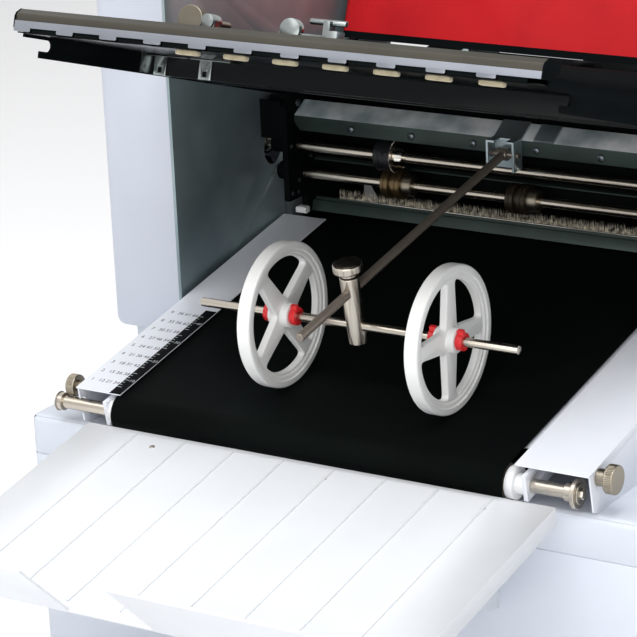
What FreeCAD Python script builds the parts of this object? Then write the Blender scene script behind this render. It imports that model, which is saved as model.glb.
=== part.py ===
import FreeCAD, Part
import math
import os

# Desk paper folding machine with two fold plates, a belt conveyor for the folded sheets and
# a pair of stacker wheels.  Millimetres.  +X is the operator's right, +Y runs from the catch
# tray to the feed table, +Z is up.  The origin is on the desk, in the middle of the base.

V = FreeCAD.Vector
X_AXIS = V(1, 0, 0)

# ---------------------------------------------------------------- driving sizes
FIT = 0.05            # radial running clearance of a shaft in its bore
GAP = 0.4             # clearance between faces that pass each other
SHEET = 2.0           # sheet steel of cabinet, housings and frames

FOOT_H = 12.0
FOOT_R = 16.0
FOOT_INSET = 48.0
BASE_W = 637.0
BASE_D = 600.0
BASE_H = 230.0
BASE_ROUND = 8.0
BASE_TOP = FOOT_H + BASE_H

INNER_W = 522.0       # clear width between the two side plates
PLATE_T = 3.0
HOUSING_W = 77.0      # side plate included
SEAM_Z = 204.0        # groove round the cabinet where its cover meets its tray
SEAM_W = 1.2
SEAM_D = 1.0
HOUSING_SETBACK = 170.0
HOUSING_REAR = 16.0   # housings reach this far behind the red cover's hinge
HOUSING_LIFT = 33.0
HOUSING_H = 393.0
HOUSING_ROUND = 9.0
NECK_INSET = 13.0
NECK_REAR = 43.0      # from the necks to the back of the base
FRONT = -BASE_D / 2
WALL_IN = INNER_W / 2
WALL_OUT = WALL_IN + PLATE_T
HOUSING_OUT = WALL_IN + HOUSING_W
HOUSING_FRONT = FRONT + HOUSING_SETBACK
HOUSING_Z = BASE_TOP + HOUSING_LIFT
HOUSING_TOP = HOUSING_Z + HOUSING_H
SIDE_PLATE_H = 402.0
SIDE_PLATE_ROUND = 18.0

# conveyor, in belt coordinates: x right, s up the belt from its front roller, n off the belt
BELT_PITCH = 10.8
BELT_W = 394.5
BELT_X = -15.25
BELT_RISE = 36.0
BELT_OVERHANG = 4.0
BELT_R = 18.0
BELT_T = 2.0
DECK_L = 357.0
DECK_SHORT = 15.0     # the deck ends this far before the belt's rear axis
BELT_L = DECK_L + DECK_SHORT
BELT_Y = FRONT - BELT_OVERHANG
BELT_Z = BASE_TOP + BELT_RISE
DECK_LIFT = 1.0       # deck plates stand this far above the belt
DECK_T = 1.2
DECK_FRONT = -4.0
LEFT_DECK_OUT = -257.0
LEFT_DECK_LAP = 4.5   # how far the scale plate reaches over the edge of the belt
RIGHT_DECK_OUT = 258.0
RIGHT_DECK_GAP = 7.5
FLANGE_T = 1.5
FLANGE_FRONT = -2.0
FLANGE_NOSE = 33.0    # depth of the flange at its front edge
BED_DROP = 2.5        # bed under the upper run of the belt
BED_T = 1.5
BED_MARGIN = 16.0
AXLE_R = 6.0
BUSH_R = 12.0
BUSH_L = 8.0
FLANGE_DISC_R = 14.0
CARRIER_T = 4.0
AXLE_END_R = 44.0
END_DISC_T = 4.0
END_DISC_R = 13.0
FLANGE_DISC_T = 8.0

# stacker wheels, carried over the belt by a rod
WHEEL_R = 65.0
WHEEL_T = 13.0
WHEEL_RIM = 10.0
WHEEL_WEB = 7.0
HUB_R = 11.0
HUB_L = 20.0
SPOKE_HALF = 6.5
WHEEL_S = 71.0
ASM_X = 4.3
WHEEL_GAP = 0.3
LEFT_WHEEL_AT = -75.0
RIGHT_WHEEL_AT = 91.0
ROD_R = 4.0
WHEEL_SHAFT_LEFT = -160.0
WHEEL_SHAFT_RIGHT = 159.0
ROD_N = 98.5
ROD_FREE_S = -16.0
PIVOT_SHORT = 19.5
PIVOT_S = BELT_L - PIVOT_SHORT
PIVOT_R = 3.0
EYE_R = 6.0
POST_R = 8.5
POST_LOW = 49.0
POST_TOP = 113.0
KNOB_R = 13.0
KNOB_H = 8.0
KNOB_NECK = 5.0
KNOB_SCREW_R = 3.0
CLIP_R = 8.0
CLIP_L = 6.0

# Folding rollers and all that stands round them. A place that ends in _AT is a (y, z) step from the
# axis of the belt's rear roller, where the folded sheets leave the rollers.
ROLLER_R = 17.5
ROLLER_GAP = 0.4
JOURNAL_R = 6.0
FRAME_IN = 231.0
FRAME_T = 6.0
ROLLER_END = 3.0
GEAR_TEETH = 20
GEAR_W = 8.0
GEAR_X = WALL_OUT + 3.5
NIP_ONE_AT = (61.2, 136.8)        # where the sheet enters the upper fold plate
PLATE_PITCH = 17.5
SECOND_NIP_ANGLE = 216.87         # direction from roller 2 to roller 3, in the YZ plane
THIRD_NIP_ANGLE = 279.8           # direction from roller 3 to roller 4
BEARING_R = 14.0

# shafts at the exit that carry the perforating and creasing tools
TOOL_UPPER_AT = (-24.2, 91.2)
TOOL_LOWER_AT = (-15.1, 60.9)
TOOL_R = 5.0
TOOL_BEARING_R = 9.0
TOOL_HOLE_R = 17.5    # hole of the left side plate through which the upper shaft is reached
TOOL_HOLE_DROP = 5.0
CLAMP_AT = -140.0
CLAMP_W = 18.0
CLAMP_R = 15.0
CHROME_W = 10.0
CHROME_R = 10.5
BLADE_R = 15.8
BLADE_W = 1.0
COLLAR_R = 14.5
COLLAR_W = 21.0
COLLAR_HUB_R = 10.5
COLLAR_HUB_W = 10.0
COLLAR_AT = (-139.0, -3.0)

# upper fold plate, in plate coordinates: u down the plate from its front, v off its underside
HINGE_AT = (39.1, 133.9)
ARM_T = 3.0
ARM_H = 26.0
ARM_X = 252.5         # outer faces of the two side arms
ARM_NOSE = -24.0
SLOT_W = 10.0
SLOT_D = 16.0
SLOT_LOW = 6.0
HINGE_U = 455.0
HINGE_V = 13.0
HINGE_R = 5.0
REST_U = HINGE_U - 61.0           # where the arms rest on a standoff of the frames
REST_GAP = 0.3
CHUTE_V = 22.4        # middle of the paper gap
CHUTE_GAP = 5.0
CHUTE_T = 1.2
CHUTE_FRONT = -36.0
CHUTE_BACK = HINGE_U - 3.0
CHUTE_NARROW_U = HINGE_U - 83.0
CHUTE_SIDE = 4.0
TOOTH_PITCH = 47.3
TOOTH_W = 25.0
TOOTH_D = 7.0
LIP_W = 16.0          # tabs under the front edge of the bar
LIP_H = 3.5
LIP_T = 1.5
BAR_D = 29.0
BAR_H = 15.0
BAR_CHAMFER = 7.5
PAD_H = 4.5
PAD_D = 7.0
PAD_FIRST = -78.5
PAD_COUNT = 7
STIFF_U = 168.0
STIFF_D = 22.0
STIFF_STEP = 95.0
CORNER_L = 20.0
HANGER_W = 13.0       # zinc hangers on the first stiffener
HANGER_AT = (-246.0, -197.0)
HANGER_FOOT = 43.0
HANGER_D = 18.0
BLOCK_W = 16.0
BLOCK_D = 10.0
BLOCK_GAP = 3.0
STOP_U = 210.0
STOP_T = 4.0
STOP_W = 330.0
STOP_SLOT_W = 10.0
STOP_SLOT_X = 110.0
STOP_SLOT_BACK = 110.0
STOP_SLOT_AHEAD = 130.0
STOP_KNOB_R = 12.5
STOP_KNOB_T = 8.0
STOP_KNOB_X = -102.0
STOP_KNOB_V = 45.5
STOP_KNOB_U = 2.0
SPINDLE_R = 3.0
SPINDLE_L = 60.0

# lower fold plate, in the base
LOWER_START = 30.0
LOWER_WALL_GAP = 32.5             # from its end to the back of the cabinet
LOWER_GAP = 6.0

# rail for the stacker rod
RAIL_AT = (-31.8, 108.3)
RAIL_H = 14.5
RAIL_TOP_D = 20.0
RAIL_TOP_RISE = 11.5
RAIL_T = 1.5
CLIP_W = 29.0
CLIP_T = 2.0
TAB_X = 31.0
TAB_W = 21.0
SCREW_R = 3.5
SCREW_H = 2.4
HAIR_MARGIN = 27.0    # from the frames to the brush's first hairs
RAIL_SCREW_MARGIN = 64.0          # from the rail's ends to its first and last screw
RAIL_SCREW_COUNT = 6

# feed side
FEED_AT = (109.2, 113.0)
FEED_PITCH = 8.0
FEED_L = 400.0
FEED_W = 470.0
FEED_T = 2.0
FEED_WHEEL_R = 20.0
FEED_WHEEL_W = 22.0
FEED_WHEEL_STEP = 70.0
FEED_SHAFT_AT = 28.0
GUIDE_AT = 150.0
GUIDE_H = 45.0
GUIDE_L = 260.0
GUIDE_T = 2.0
GUIDE_FOOT = 40.0
GUIDE_START = 70.0
GUIDE_SLOT_S = 130.0
GUIDE_SLOT_W = 10.0
GUIDE_SLOT_IN = 95.0
GUIDE_SLOT_OUT = 20.0
TONGUE_X = 8.0
TONGUE_W = 8.0
PAD_W = 40.0
COVER_LOW_AT = (99.2, 170.0)
COVER_TOP_AT = (129.2, 250.0)
COVER_HINGE_AT = (189.2, 268.0)
COVER_T = 2.5
COVER_GAP = 7.0
PEG_R = 4.0

# drive
MOTOR_AXIS_AT = (61.2, -7.0)
MOTOR_R = 32.0
MOTOR_L = 40.0
MOTOR_PULLEY_R = 10.0
MAIN_PULLEY_R = 24.0
PULLEY_W = 10.0
DRIVE_BELT_T = 1.6
LINE_PULLEY_R = 10.0
CONVEYOR_PULLEY_R = 20.0
BELT_GAP = 0.3

# catch tray
TRAY_W = 469.0
TRAY_L = 265.0
TRAY_PITCH = 10.0
TRAY_AHEAD = 22.0     # from the front of the base to the tray's rear edge
TRAY_RISE = 12.0
TRAY_Y = FRONT - TRAY_AHEAD
TRAY_Z = BASE_TOP + TRAY_RISE
TRAY_T = 2.0
TRAY_SIDE_H = 16.0
LIP_L = 86.0
LIP_TILT = 43.6
NOTCH_W = 82.0
NOTCH_AT = -23.0
RIB_PITCH = 51.0
RIB_W = 3.0
RIB_H = 1.5
RIB_COUNT = 8
TRAY_BRACKET_X = 165.0
TRAY_BRACKET_L = 190.0
TRAY_BRACKET_H = 90.0

# controls
PANEL_W = 54.0
PANEL_L = 190.0
PANEL_T = 6.0
PANEL_Y = HOUSING_FRONT + 170.0
BUTTON_R = 8.0
BUTTON_H = 5.0
BUTTON_TRAVEL = 2.0
START_Y = -20.0
STOP_Y = 8.0
DIAL_Y = 60.0
DIAL_R = 15.0
DIAL_H = 12.0
DISPLAY_L = 44.0
DISPLAY_W = 26.0
DISPLAY_Y = 100.0
INLET_X = 230.0
INLET_Z = 90.0
INLET_W = 28.0
INLET_H = 48.0
ROCKER_R = 9.0
ROCKER_W = 18.0
LEFT_KNOB_R = 10.2
RIGHT_KNOB_R = 12.5
LEFT_KNOB_OUT = 9.0   # from the deck plate's edge to the knob
RIGHT_KNOB_OUT = 9.0
SIDE_KNOB_T = 9.0
SIDE_KNOB_S = 12.0
SIDE_KNOB_N = -6.5

os.makedirs("parts", exist_ok=True)


# ---------------------------------------------------------------- geometry helpers
def box(x0, x1, y0, y1, z0, z1):
    return Part.makeBox(x1 - x0, y1 - y0, z1 - z0, V(x0, y0, z0))


def rod(x0, x1, y, z, r):
    """Cylinder along X."""
    return Part.makeCylinder(r, x1 - x0, V(x0, y, z), X_AXIS)


def ring(x0, x1, y, z, r_out, r_in):
    return rod(x0, x1, y, z, r_out).cut(rod(x0 - 1, x1 + 1, y, z, r_in))


def prism(points, x0, x1):
    """Closed outline of (y, z) points, extruded along X."""
    corners = [V(x0, y, z) for y, z in points]
    return Part.Face(Part.makePolygon(corners + corners[:1])).extrude(V(x1 - x0, 0, 0))


def tilt(shape, pitch, y, z):
    """Turns a shape about X by pitch degrees and sets its local origin at (y, z)."""
    turned = shape.copy()
    turned.rotate(V(0, 0, 0), X_AXIS, pitch)
    turned.translate(V(0, y, z))
    return turned


def on_belt(shape):
    return tilt(shape, BELT_PITCH, BELT_Y, BELT_Z)


def on_plate(shape):
    return tilt(shape, -PLATE_PITCH, PLATE_Y, PLATE_Z)


def on_feed(shape):
    return tilt(shape, FEED_PITCH, FEED_Y, FEED_Z)


def on_tray(shape):
    return tilt(shape, TRAY_PITCH, TRAY_Y, TRAY_Z)


def belt_point(s, n):
    a = math.radians(BELT_PITCH)
    return (BELT_Y + s * math.cos(a) - n * math.sin(a),
            BELT_Z + s * math.sin(a) + n * math.cos(a))


def plate_point(u, v):
    return (PLATE_Y + u * PLATE_COS + v * PLATE_SIN,
            PLATE_Z - u * PLATE_SIN + v * PLATE_COS)


def feed_point(s, n):
    a = math.radians(FEED_PITCH)
    return (FEED_Y + s * math.cos(a) - n * math.sin(a),
            FEED_Z + s * math.sin(a) + n * math.cos(a))


def polar(centre, angle, reach):
    a = math.radians(angle)
    return (centre[0] + reach * math.cos(a), centre[1] + reach * math.sin(a))


def edges_along(shape, axis):
    chosen = []
    for edge in shape.Edges:
        if isinstance(edge.Curve, Part.Line) and abs(edge.tangentAt(edge.FirstParameter).dot(axis)) > 0.999:
            chosen.append(edge)
    return chosen


def loop_belt(x0, x1, a, b, ra, rb, t):
    """Open belt of thickness t round two circles in the YZ plane, clear of them by BELT_GAP."""
    def hull(extra):
        reach = math.hypot(b[0] - a[0], b[1] - a[1])
        base = math.atan2(b[1] - a[1], b[0] - a[0])
        swing = math.acos((ra - rb) / reach)
        ca, cb = ra + extra, rb + extra
        up, down = base + swing, base - swing
        def at(c, r, ang):
            return V(x0, c[0] + r * math.cos(ang), c[1] + r * math.sin(ang))
        back = Part.Arc(at(a, ca, up), at(a, ca, base + math.pi), at(a, ca, down)).toShape()
        low = Part.LineSegment(at(a, ca, down), at(b, cb, down)).toShape()
        front = Part.Arc(at(b, cb, down), at(b, cb, base), at(b, cb, up)).toShape()
        top = Part.LineSegment(at(b, cb, up), at(a, ca, up)).toShape()
        return Part.Face(Part.Wire([back, low, front, top])).extrude(V(x1 - x0, 0, 0))
    return hull(BELT_GAP + t).cut(hull(BELT_GAP))


def gear(x0, centre, pitch_r, phase):
    """Spur gear with straight-flanked teeth; phase is the angle of one tooth, in degrees."""
    module = 2 * pitch_r / GEAR_TEETH
    tip = pitch_r + 0.8 * module
    root = pitch_r - 1.15 * module
    step = 360.0 / GEAR_TEETH
    points = []
    for k in range(GEAR_TEETH):
        mid = phase + k * step
        for share, r in ((-0.34, root), (-0.13, tip), (0.13, tip), (0.34, root)):
            points.append(polar(centre, mid + share * step, r))
    return prism(points, x0, x0 + GEAR_W)


def meshing_phase(angle_to_next, phase):
    """Phase of a gear that meets a like gear with the given phase in the given direction."""
    step = 360.0 / GEAR_TEETH
    offset = (angle_to_next - phase) % step
    return angle_to_next + 180.0 + offset + step / 2


def save(name, *solids):
    shape = solids[0] if len(solids) == 1 else Part.makeCompound(list(solids))
    shape.exportStep(os.path.join("parts", name + ".step"))


# ---------------------------------------------------------------- places
REAR_ROLLER = belt_point(BELT_L, -BELT_R)


def past_rear_roller(step):
    return (REAR_ROLLER[0] + step[0], REAR_ROLLER[1] + step[1])


FRAME_OUT = FRAME_IN + FRAME_T
CENTRES = 2 * ROLLER_R + ROLLER_GAP
NIP_ONE = past_rear_roller(NIP_ONE_AT)
TOOL_UPPER = past_rear_roller(TOOL_UPPER_AT)
TOOL_LOWER = past_rear_roller(TOOL_LOWER_AT)
HINGE = past_rear_roller(HINGE_AT)
RAIL_Y, RAIL_Z = past_rear_roller(RAIL_AT)
FEED_Y, FEED_Z = past_rear_roller(FEED_AT)
COVER_LOW = past_rear_roller(COVER_LOW_AT)
COVER_TOP = past_rear_roller(COVER_TOP_AT)
COVER_HINGE = past_rear_roller(COVER_HINGE_AT)
MOTOR_AT = past_rear_roller(MOTOR_AXIS_AT)
PLATE_COS = math.cos(math.radians(PLATE_PITCH))
PLATE_SIN = math.sin(math.radians(PLATE_PITCH))
PLATE_Y = HINGE[0] - HINGE_U * PLATE_COS - HINGE_V * PLATE_SIN
PLATE_Z = HINGE[1] + HINGE_U * PLATE_SIN - HINGE_V * PLATE_COS
ROLLER_1 = polar(NIP_ONE, 90.0 - PLATE_PITCH, CENTRES / 2)
ROLLER_2 = polar(NIP_ONE, 270.0 - PLATE_PITCH, CENTRES / 2)
ROLLER_3 = polar(ROLLER_2, SECOND_NIP_ANGLE, CENTRES)
ROLLER_4 = polar(ROLLER_3, THIRD_NIP_ANGLE, CENTRES)
ROLLERS = (ROLLER_1, ROLLER_2, ROLLER_3, ROLLER_4)
FEED_SHAFT = feed_point(FEED_SHAFT_AT, FEED_T + GAP + FEED_WHEEL_R)
HOUSING_BACK = COVER_HINGE[0] + HOUSING_REAR
NECK_FRONT = HOUSING_FRONT + NECK_INSET
NECK_BACK = BASE_D / 2 - NECK_REAR
LINE_X = -WALL_OUT - 3.5          # first plane of line pulleys, left of the left side plate
LINE_W = 6.0
LINE_STEP = 9.0
PULLEY_X = GEAR_X + GEAR_W + 3.0
PANEL_X = WALL_OUT + (HOUSING_OUT - WALL_OUT) / 2
PANEL_TOP = HOUSING_TOP + PANEL_T
ROCKER_Z = INLET_Z + INLET_H / 2 - ROCKER_R - 4.2
ROCKER_Y = BASE_D / 2 - 6.0


# ---------------------------------------------------------------- cabinet and housings
def base_cabinet():
    """Hollow cabinet with a mouth for the second fold plate, and the two necks that stand on it."""
    half = BASE_W / 2
    outer = box(-half, half, FRONT, BASE_D / 2, FOOT_H, BASE_TOP)
    outer = outer.makeFillet(BASE_ROUND, edges_along(outer, V(0, 0, 1)))
    rim = [e for e in outer.Edges if e.BoundBox.ZMin > BASE_TOP - 0.01]
    outer = outer.makeFillet(BASE_ROUND - 1, rim)
    inner = box(-half + SHEET, half - SHEET, FRONT + SHEET, BASE_D / 2 - SHEET,
                FOOT_H + SHEET, BASE_TOP - SHEET)
    shell = outer.cut(inner)
    band = box(-half - 1, half + 1, FRONT - 1, BASE_D / 2 + 1, SEAM_Z, SEAM_Z + SEAM_W)
    core = box(-half + SEAM_D, half - SEAM_D, FRONT + SEAM_D, BASE_D / 2 - SEAM_D,
               SEAM_Z - 1, SEAM_Z + SEAM_W + 1)
    core = core.makeFillet(BASE_ROUND - SEAM_D, edges_along(core, V(0, 0, 1)))
    shell = shell.cut(band.cut(core))
    mouth = box(-FRAME_IN, FRAME_IN, RAIL_Y, BASE_D / 2 - 3 * SHEET, BASE_TOP - 2 * SHEET, BASE_TOP + 1)
    shell = shell.cut(mouth)
    necks = []
    for side in (-1, 1):
        x0, x1 = sorted((side * WALL_OUT, side * (HOUSING_OUT - NECK_INSET)))
        neck = box(x0, x1, NECK_FRONT, NECK_BACK, BASE_TOP, HOUSING_Z)
        bore = box(x0 + SHEET, x1 - SHEET, NECK_FRONT + SHEET, NECK_BACK - SHEET, BASE_TOP - 1, HOUSING_Z + 1)
        necks.append(neck.cut(bore))
    inlet = box(INLET_X - INLET_W / 2, INLET_X + INLET_W / 2, BASE_D / 2 - SHEET - 1, BASE_D / 2 + 1,
                INLET_Z - INLET_H / 2, INLET_Z + INLET_H / 2)
    return [shell.cut(inlet).removeSplitter()] + necks


def base_feet():
    feet = []
    for sx in (-1, 1):
        for sy in (-1, 1):
            at = V(sx * (BASE_W / 2 - FOOT_INSET), sy * (BASE_D / 2 - FOOT_INSET), 0)
            feet.append(Part.makeCone(FOOT_R - 2, FOOT_R, FOOT_H, at))
    return feet


def housing(side):
    """Cover over one side of the machine: a folded shell, open towards the side plate."""
    x0, x1 = sorted((side * WALL_OUT, side * HOUSING_OUT))
    outer = box(x0, x1, HOUSING_FRONT, HOUSING_BACK, HOUSING_Z, HOUSING_TOP)
    rounded = [e for e in edges_along(outer, V(0, 1, 0)) if abs(abs(e.CenterOfMass.x) - HOUSING_OUT) < 0.1]
    outer = outer.makeFillet(HOUSING_ROUND, rounded)
    i0, i1 = sorted((side * (WALL_OUT - 1), side * (HOUSING_OUT - SHEET)))
    inner = box(i0, i1, HOUSING_FRONT + SHEET, HOUSING_BACK - SHEET, HOUSING_Z + SHEET, HOUSING_TOP - SHEET)
    n0, n1 = sorted((side * (WALL_OUT - 1), side * (HOUSING_OUT - NECK_INSET - SHEET)))
    throat = box(n0, n1, NECK_FRONT + SHEET, NECK_BACK - SHEET, HOUSING_Z - 1, HOUSING_Z + SHEET + 1)
    return outer.cut(inner).cut(throat)


def shaft_holes():
    """(y, z, r) of every shaft that passes the side plates."""
    rollers = [(c[0], c[1], JOURNAL_R) for c in ROLLERS]
    tools = [(TOOL_UPPER[0], TOOL_UPPER[1], TOOL_R), (TOOL_LOWER[0], TOOL_LOWER[1], TOOL_R)]
    rear = [(REAR_ROLLER[0], REAR_ROLLER[1], AXLE_R)]
    return rollers + tools + rear


def side_plate(side):
    x0, x1 = sorted((side * WALL_IN, side * WALL_OUT))
    plate = box(x0, x1, HOUSING_FRONT, HOUSING_BACK, BASE_TOP, BASE_TOP + SIDE_PLATE_H)
    top = [e for e in edges_along(plate, X_AXIS) if e.CenterOfMass.z > BASE_TOP + 1]
    plate = plate.makeFillet(SIDE_PLATE_ROUND, top)
    for y, z, r in shaft_holes():
        plate = plate.cut(rod(x0 - 1, x1 + 1, y, z, r + 1.5))
    plate = plate.cut(rod(x0 - 1, x1 + 1, FEED_SHAFT[0], FEED_SHAFT[1], TOOL_R + FIT))
    plate = plate.cut(rod(x0 - 1, x1 + 1, HINGE[0], HINGE[1], HINGE_R + FIT))
    plate = plate.cut(rod(x0 - 1, x1 + 1, COVER_HINGE[0], COVER_HINGE[1], HINGE_R + FIT))
    p0, p1 = sorted((side * WALL_IN, side * (WALL_IN - COVER_GAP - 5.0)))
    plate = plate.fuse(rod(p0, p1, COVER_LOW[0] + 16.0, COVER_LOW[1] - PEG_R - REST_GAP, PEG_R))
    if side < 0:
        plate = plate.cut(rod(x0 - 1, x1 + 1, TOOL_UPPER[0], TOOL_UPPER[1] - TOOL_HOLE_DROP, TOOL_HOLE_R))
    return plate


# ---------------------------------------------------------------- roller frames
FRAME_FRONT = TOOL_UPPER[0] - 22.0
FRAME_BACK = ROLLER_1[0] + 26.0
FRAME_TOP = ROLLER_1[1] + 20.0
FRAME_LOW = REAR_ROLLER[1] - 20.0
FRAME_STEP_Y = belt_point(DECK_L, 0)[0] + 3.0
FRAME_STEP_Z = TOOL_LOWER[1] - 22.0
STANDOFF_R = 6.0
# the first standoff carries the fold plate's arm
STANDOFFS = (plate_point(REST_U, -STANDOFF_R - REST_GAP), (FRAME_BACK - 9.0, ROLLER_2[1] - 20.0),
             (FRAME_STEP_Y + 40.0, FRAME_LOW + 12.0), (FRAME_BACK - 9.0, FRAME_LOW + 12.0))


def roller_frame(side):
    """Black bearing plate with a front flange, and the spacers that hold it off the side plate."""
    x0, x1 = sorted((side * FRAME_IN, side * FRAME_OUT))
    outline = [(FRAME_FRONT, FRAME_STEP_Z), (FRAME_STEP_Y, FRAME_STEP_Z), (FRAME_STEP_Y, FRAME_LOW),
               (FRAME_BACK, FRAME_LOW), (FRAME_BACK, FRAME_TOP), (FRAME_FRONT + 40.0, FRAME_TOP),
               (FRAME_FRONT, FRAME_TOP - 40.0)]
    plate = prism(outline, x0, x1)
    f0, f1 = sorted((side * FRAME_OUT, side * (WALL_IN)))
    flange_z = TOOL_UPPER[1] + 10.0
    flange = box(f0, f1, FRAME_FRONT, FRAME_FRONT + SHEET, flange_z, flange_z + 38.0)
    plate = plate.fuse(flange)
    spacers = [rod(f0, f1, y, z, STANDOFF_R) for y, z in STANDOFFS]
    for y, z in ROLLERS:
        plate = plate.cut(rod(x0 - 1, x1 + 1, y, z, BEARING_R))
    for y, z in (TOOL_UPPER, TOOL_LOWER):
        plate = plate.cut(rod(x0 - 1, x1 + 1, y, z, TOOL_BEARING_R))
    plate = plate.cut(rod(x0 - 1, x1 + 1, REAR_ROLLER[0], REAR_ROLLER[1], BEARING_R))
    return [plate.removeSplitter()] + spacers


def roller_bearings():
    rings = []
    for side in (-1, 1):
        x0, x1 = sorted((side * FRAME_IN, side * FRAME_OUT))
        for y, z in ROLLERS:
            rings.append(ring(x0, x1, y, z, BEARING_R, JOURNAL_R + FIT))
        sleeve = sorted((side * FRAME_IN, side * (WALL_IN - 2.0 if side < 0 else FRAME_OUT)))
        for y, z in (TOOL_UPPER, TOOL_LOWER):
            rings.append(ring(*sleeve, y, z, TOOL_BEARING_R, TOOL_R + FIT))
        rings.append(ring(x0, x1, REAR_ROLLER[0], REAR_ROLLER[1], BEARING_R, AXLE_R + FIT))
    return rings


def frame_screws():
    heads = []
    for side in (-1, 1):
        for y, z in STANDOFFS:
            x0, x1 = sorted((side * FRAME_IN, side * (FRAME_IN - SCREW_H)))
            heads.append(rod(x0, x1, y, z, SCREW_R))
    first = RAIL_SCREW_MARGIN - FRAME_IN
    for k in range(RAIL_SCREW_COUNT):
        at = V(first - 2 * first * k / (RAIL_SCREW_COUNT - 1), RAIL_Y, RAIL_Z + RAIL_H / 2 - 1)
        heads.append(Part.makeCylinder(SCREW_R, SCREW_H, at, V(0, -1, 0)))
    return heads


# ---------------------------------------------------------------- rail, guides and brush
def wheel_rail():
    """Zinc rail that the stacker rod clips to: a front flange with a sloped top flange."""
    front = [(RAIL_Y, RAIL_Z), (RAIL_Y, RAIL_Z + RAIL_H),
             (RAIL_Y + RAIL_TOP_D, RAIL_Z + RAIL_H + RAIL_TOP_RISE),
             (RAIL_Y + RAIL_TOP_D, RAIL_Z + RAIL_H + RAIL_TOP_RISE - RAIL_T * 1.2),
             (RAIL_Y + RAIL_T, RAIL_Z + RAIL_H - RAIL_T * 0.7), (RAIL_Y + RAIL_T, RAIL_Z)]
    return prism(front, -FRAME_IN, FRAME_IN)


PIVOT = belt_point(PIVOT_S, ROD_N)
CLIP_FRONT = PIVOT[0] - EYE_R - 1.5


def rod_bracket():
    """Clip on the rail: two cheeks with the rod's pivot holes, a back and a top, a saddle over the
    rail's top flange, and a side tab."""
    x0 = ASM_X - CLIP_W / 2
    x1 = ASM_X + CLIP_W / 2
    low = PIVOT[1] - 15.0
    high = RAIL_Z + RAIL_H + CLIP_T
    body = box(x0, x1, CLIP_FRONT, RAIL_Y, low, high)
    hollow = box(x0 + CLIP_T, x1 - CLIP_T, CLIP_FRONT - 1, RAIL_Y - CLIP_T, low - 1, high - CLIP_T)
    body = body.cut(hollow)
    body = body.cut(rod(x0 - 1, x1 + 1, PIVOT[0], PIVOT[1], PIVOT_R + FIT))
    swing = ROD_R + 2.0
    notch = box(ASM_X - swing, ASM_X + swing, CLIP_FRONT - 1, PIVOT[0] + ROD_R, high - CLIP_T - 1, high + 1)
    body = body.cut(notch)
    slope = math.degrees(math.atan2(RAIL_TOP_RISE, RAIL_TOP_D))
    reach = math.hypot(RAIL_TOP_D, RAIL_TOP_RISE)
    tab = box(TAB_X, TAB_X + TAB_W, 0, reach - 1, 0, CLIP_T)
    tab = tilt(tab, slope, RAIL_Y, RAIL_Z + RAIL_H)
    saddle = tilt(box(x0, x1, 0, reach, 0, CLIP_T), slope, RAIL_Y, RAIL_Z + RAIL_H)
    return [body.fuse(saddle).removeSplitter(), tab]


def exit_guides():
    """Two sheets that lead the folded sheet to the tool shafts, and the strip over the belt's end."""
    a = math.radians(THIRD_NIP_ANGLE - 90.0)
    mid = ((ROLLER_3[0] + ROLLER_4[0]) / 2, (ROLLER_3[1] + ROLLER_4[1]) / 2)
    start = 22.0
    end_y = TOOL_LOWER[0] + COLLAR_R + 2.0
    length = (mid[0] - end_y) / abs(math.cos(a)) - start
    sheets = []
    for off in (-6.0, 4.5):
        y0 = mid[0] - start * abs(math.cos(a))
        z0 = mid[1] - start * abs(math.sin(a)) + off
        y1 = y0 - length * abs(math.cos(a))
        z1 = z0 - length * abs(math.sin(a))
        sheets.append(prism([(y0, z0), (y1, z1), (y1, z1 + RAIL_T), (y0, z0 + RAIL_T)], -FRAME_IN, FRAME_IN))
    y, z = belt_point(BELT_L - 5.0, 0)
    strip = prism([(y, z + 4.0), (y + 4.0, z + 14.0), (y + 4.0 + RAIL_T, z + 14.0), (y + RAIL_T, z + 4.0)],
                  -FRAME_IN, FRAME_IN)
    return sheets + [strip]


def static_brush():
    """Bar with a row of antistatic bristles that stroke the sheet."""
    y, z = belt_point(BELT_L - 5.0, 0)
    bar = box(-FRAME_IN, FRAME_IN, y + 8.0, y + 14.0, z + 10.0, z + 16.0)
    hair = box(-FRAME_IN + HAIR_MARGIN, FRAME_IN - HAIR_MARGIN, y + 10.0, y + 12.0, z + 16.0, z + 24.0)
    return bar.fuse(hair)


# ---------------------------------------------------------------- conveyor
BELT_LEFT = BELT_X - BELT_W / 2
BELT_RIGHT = BELT_X + BELT_W / 2


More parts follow.
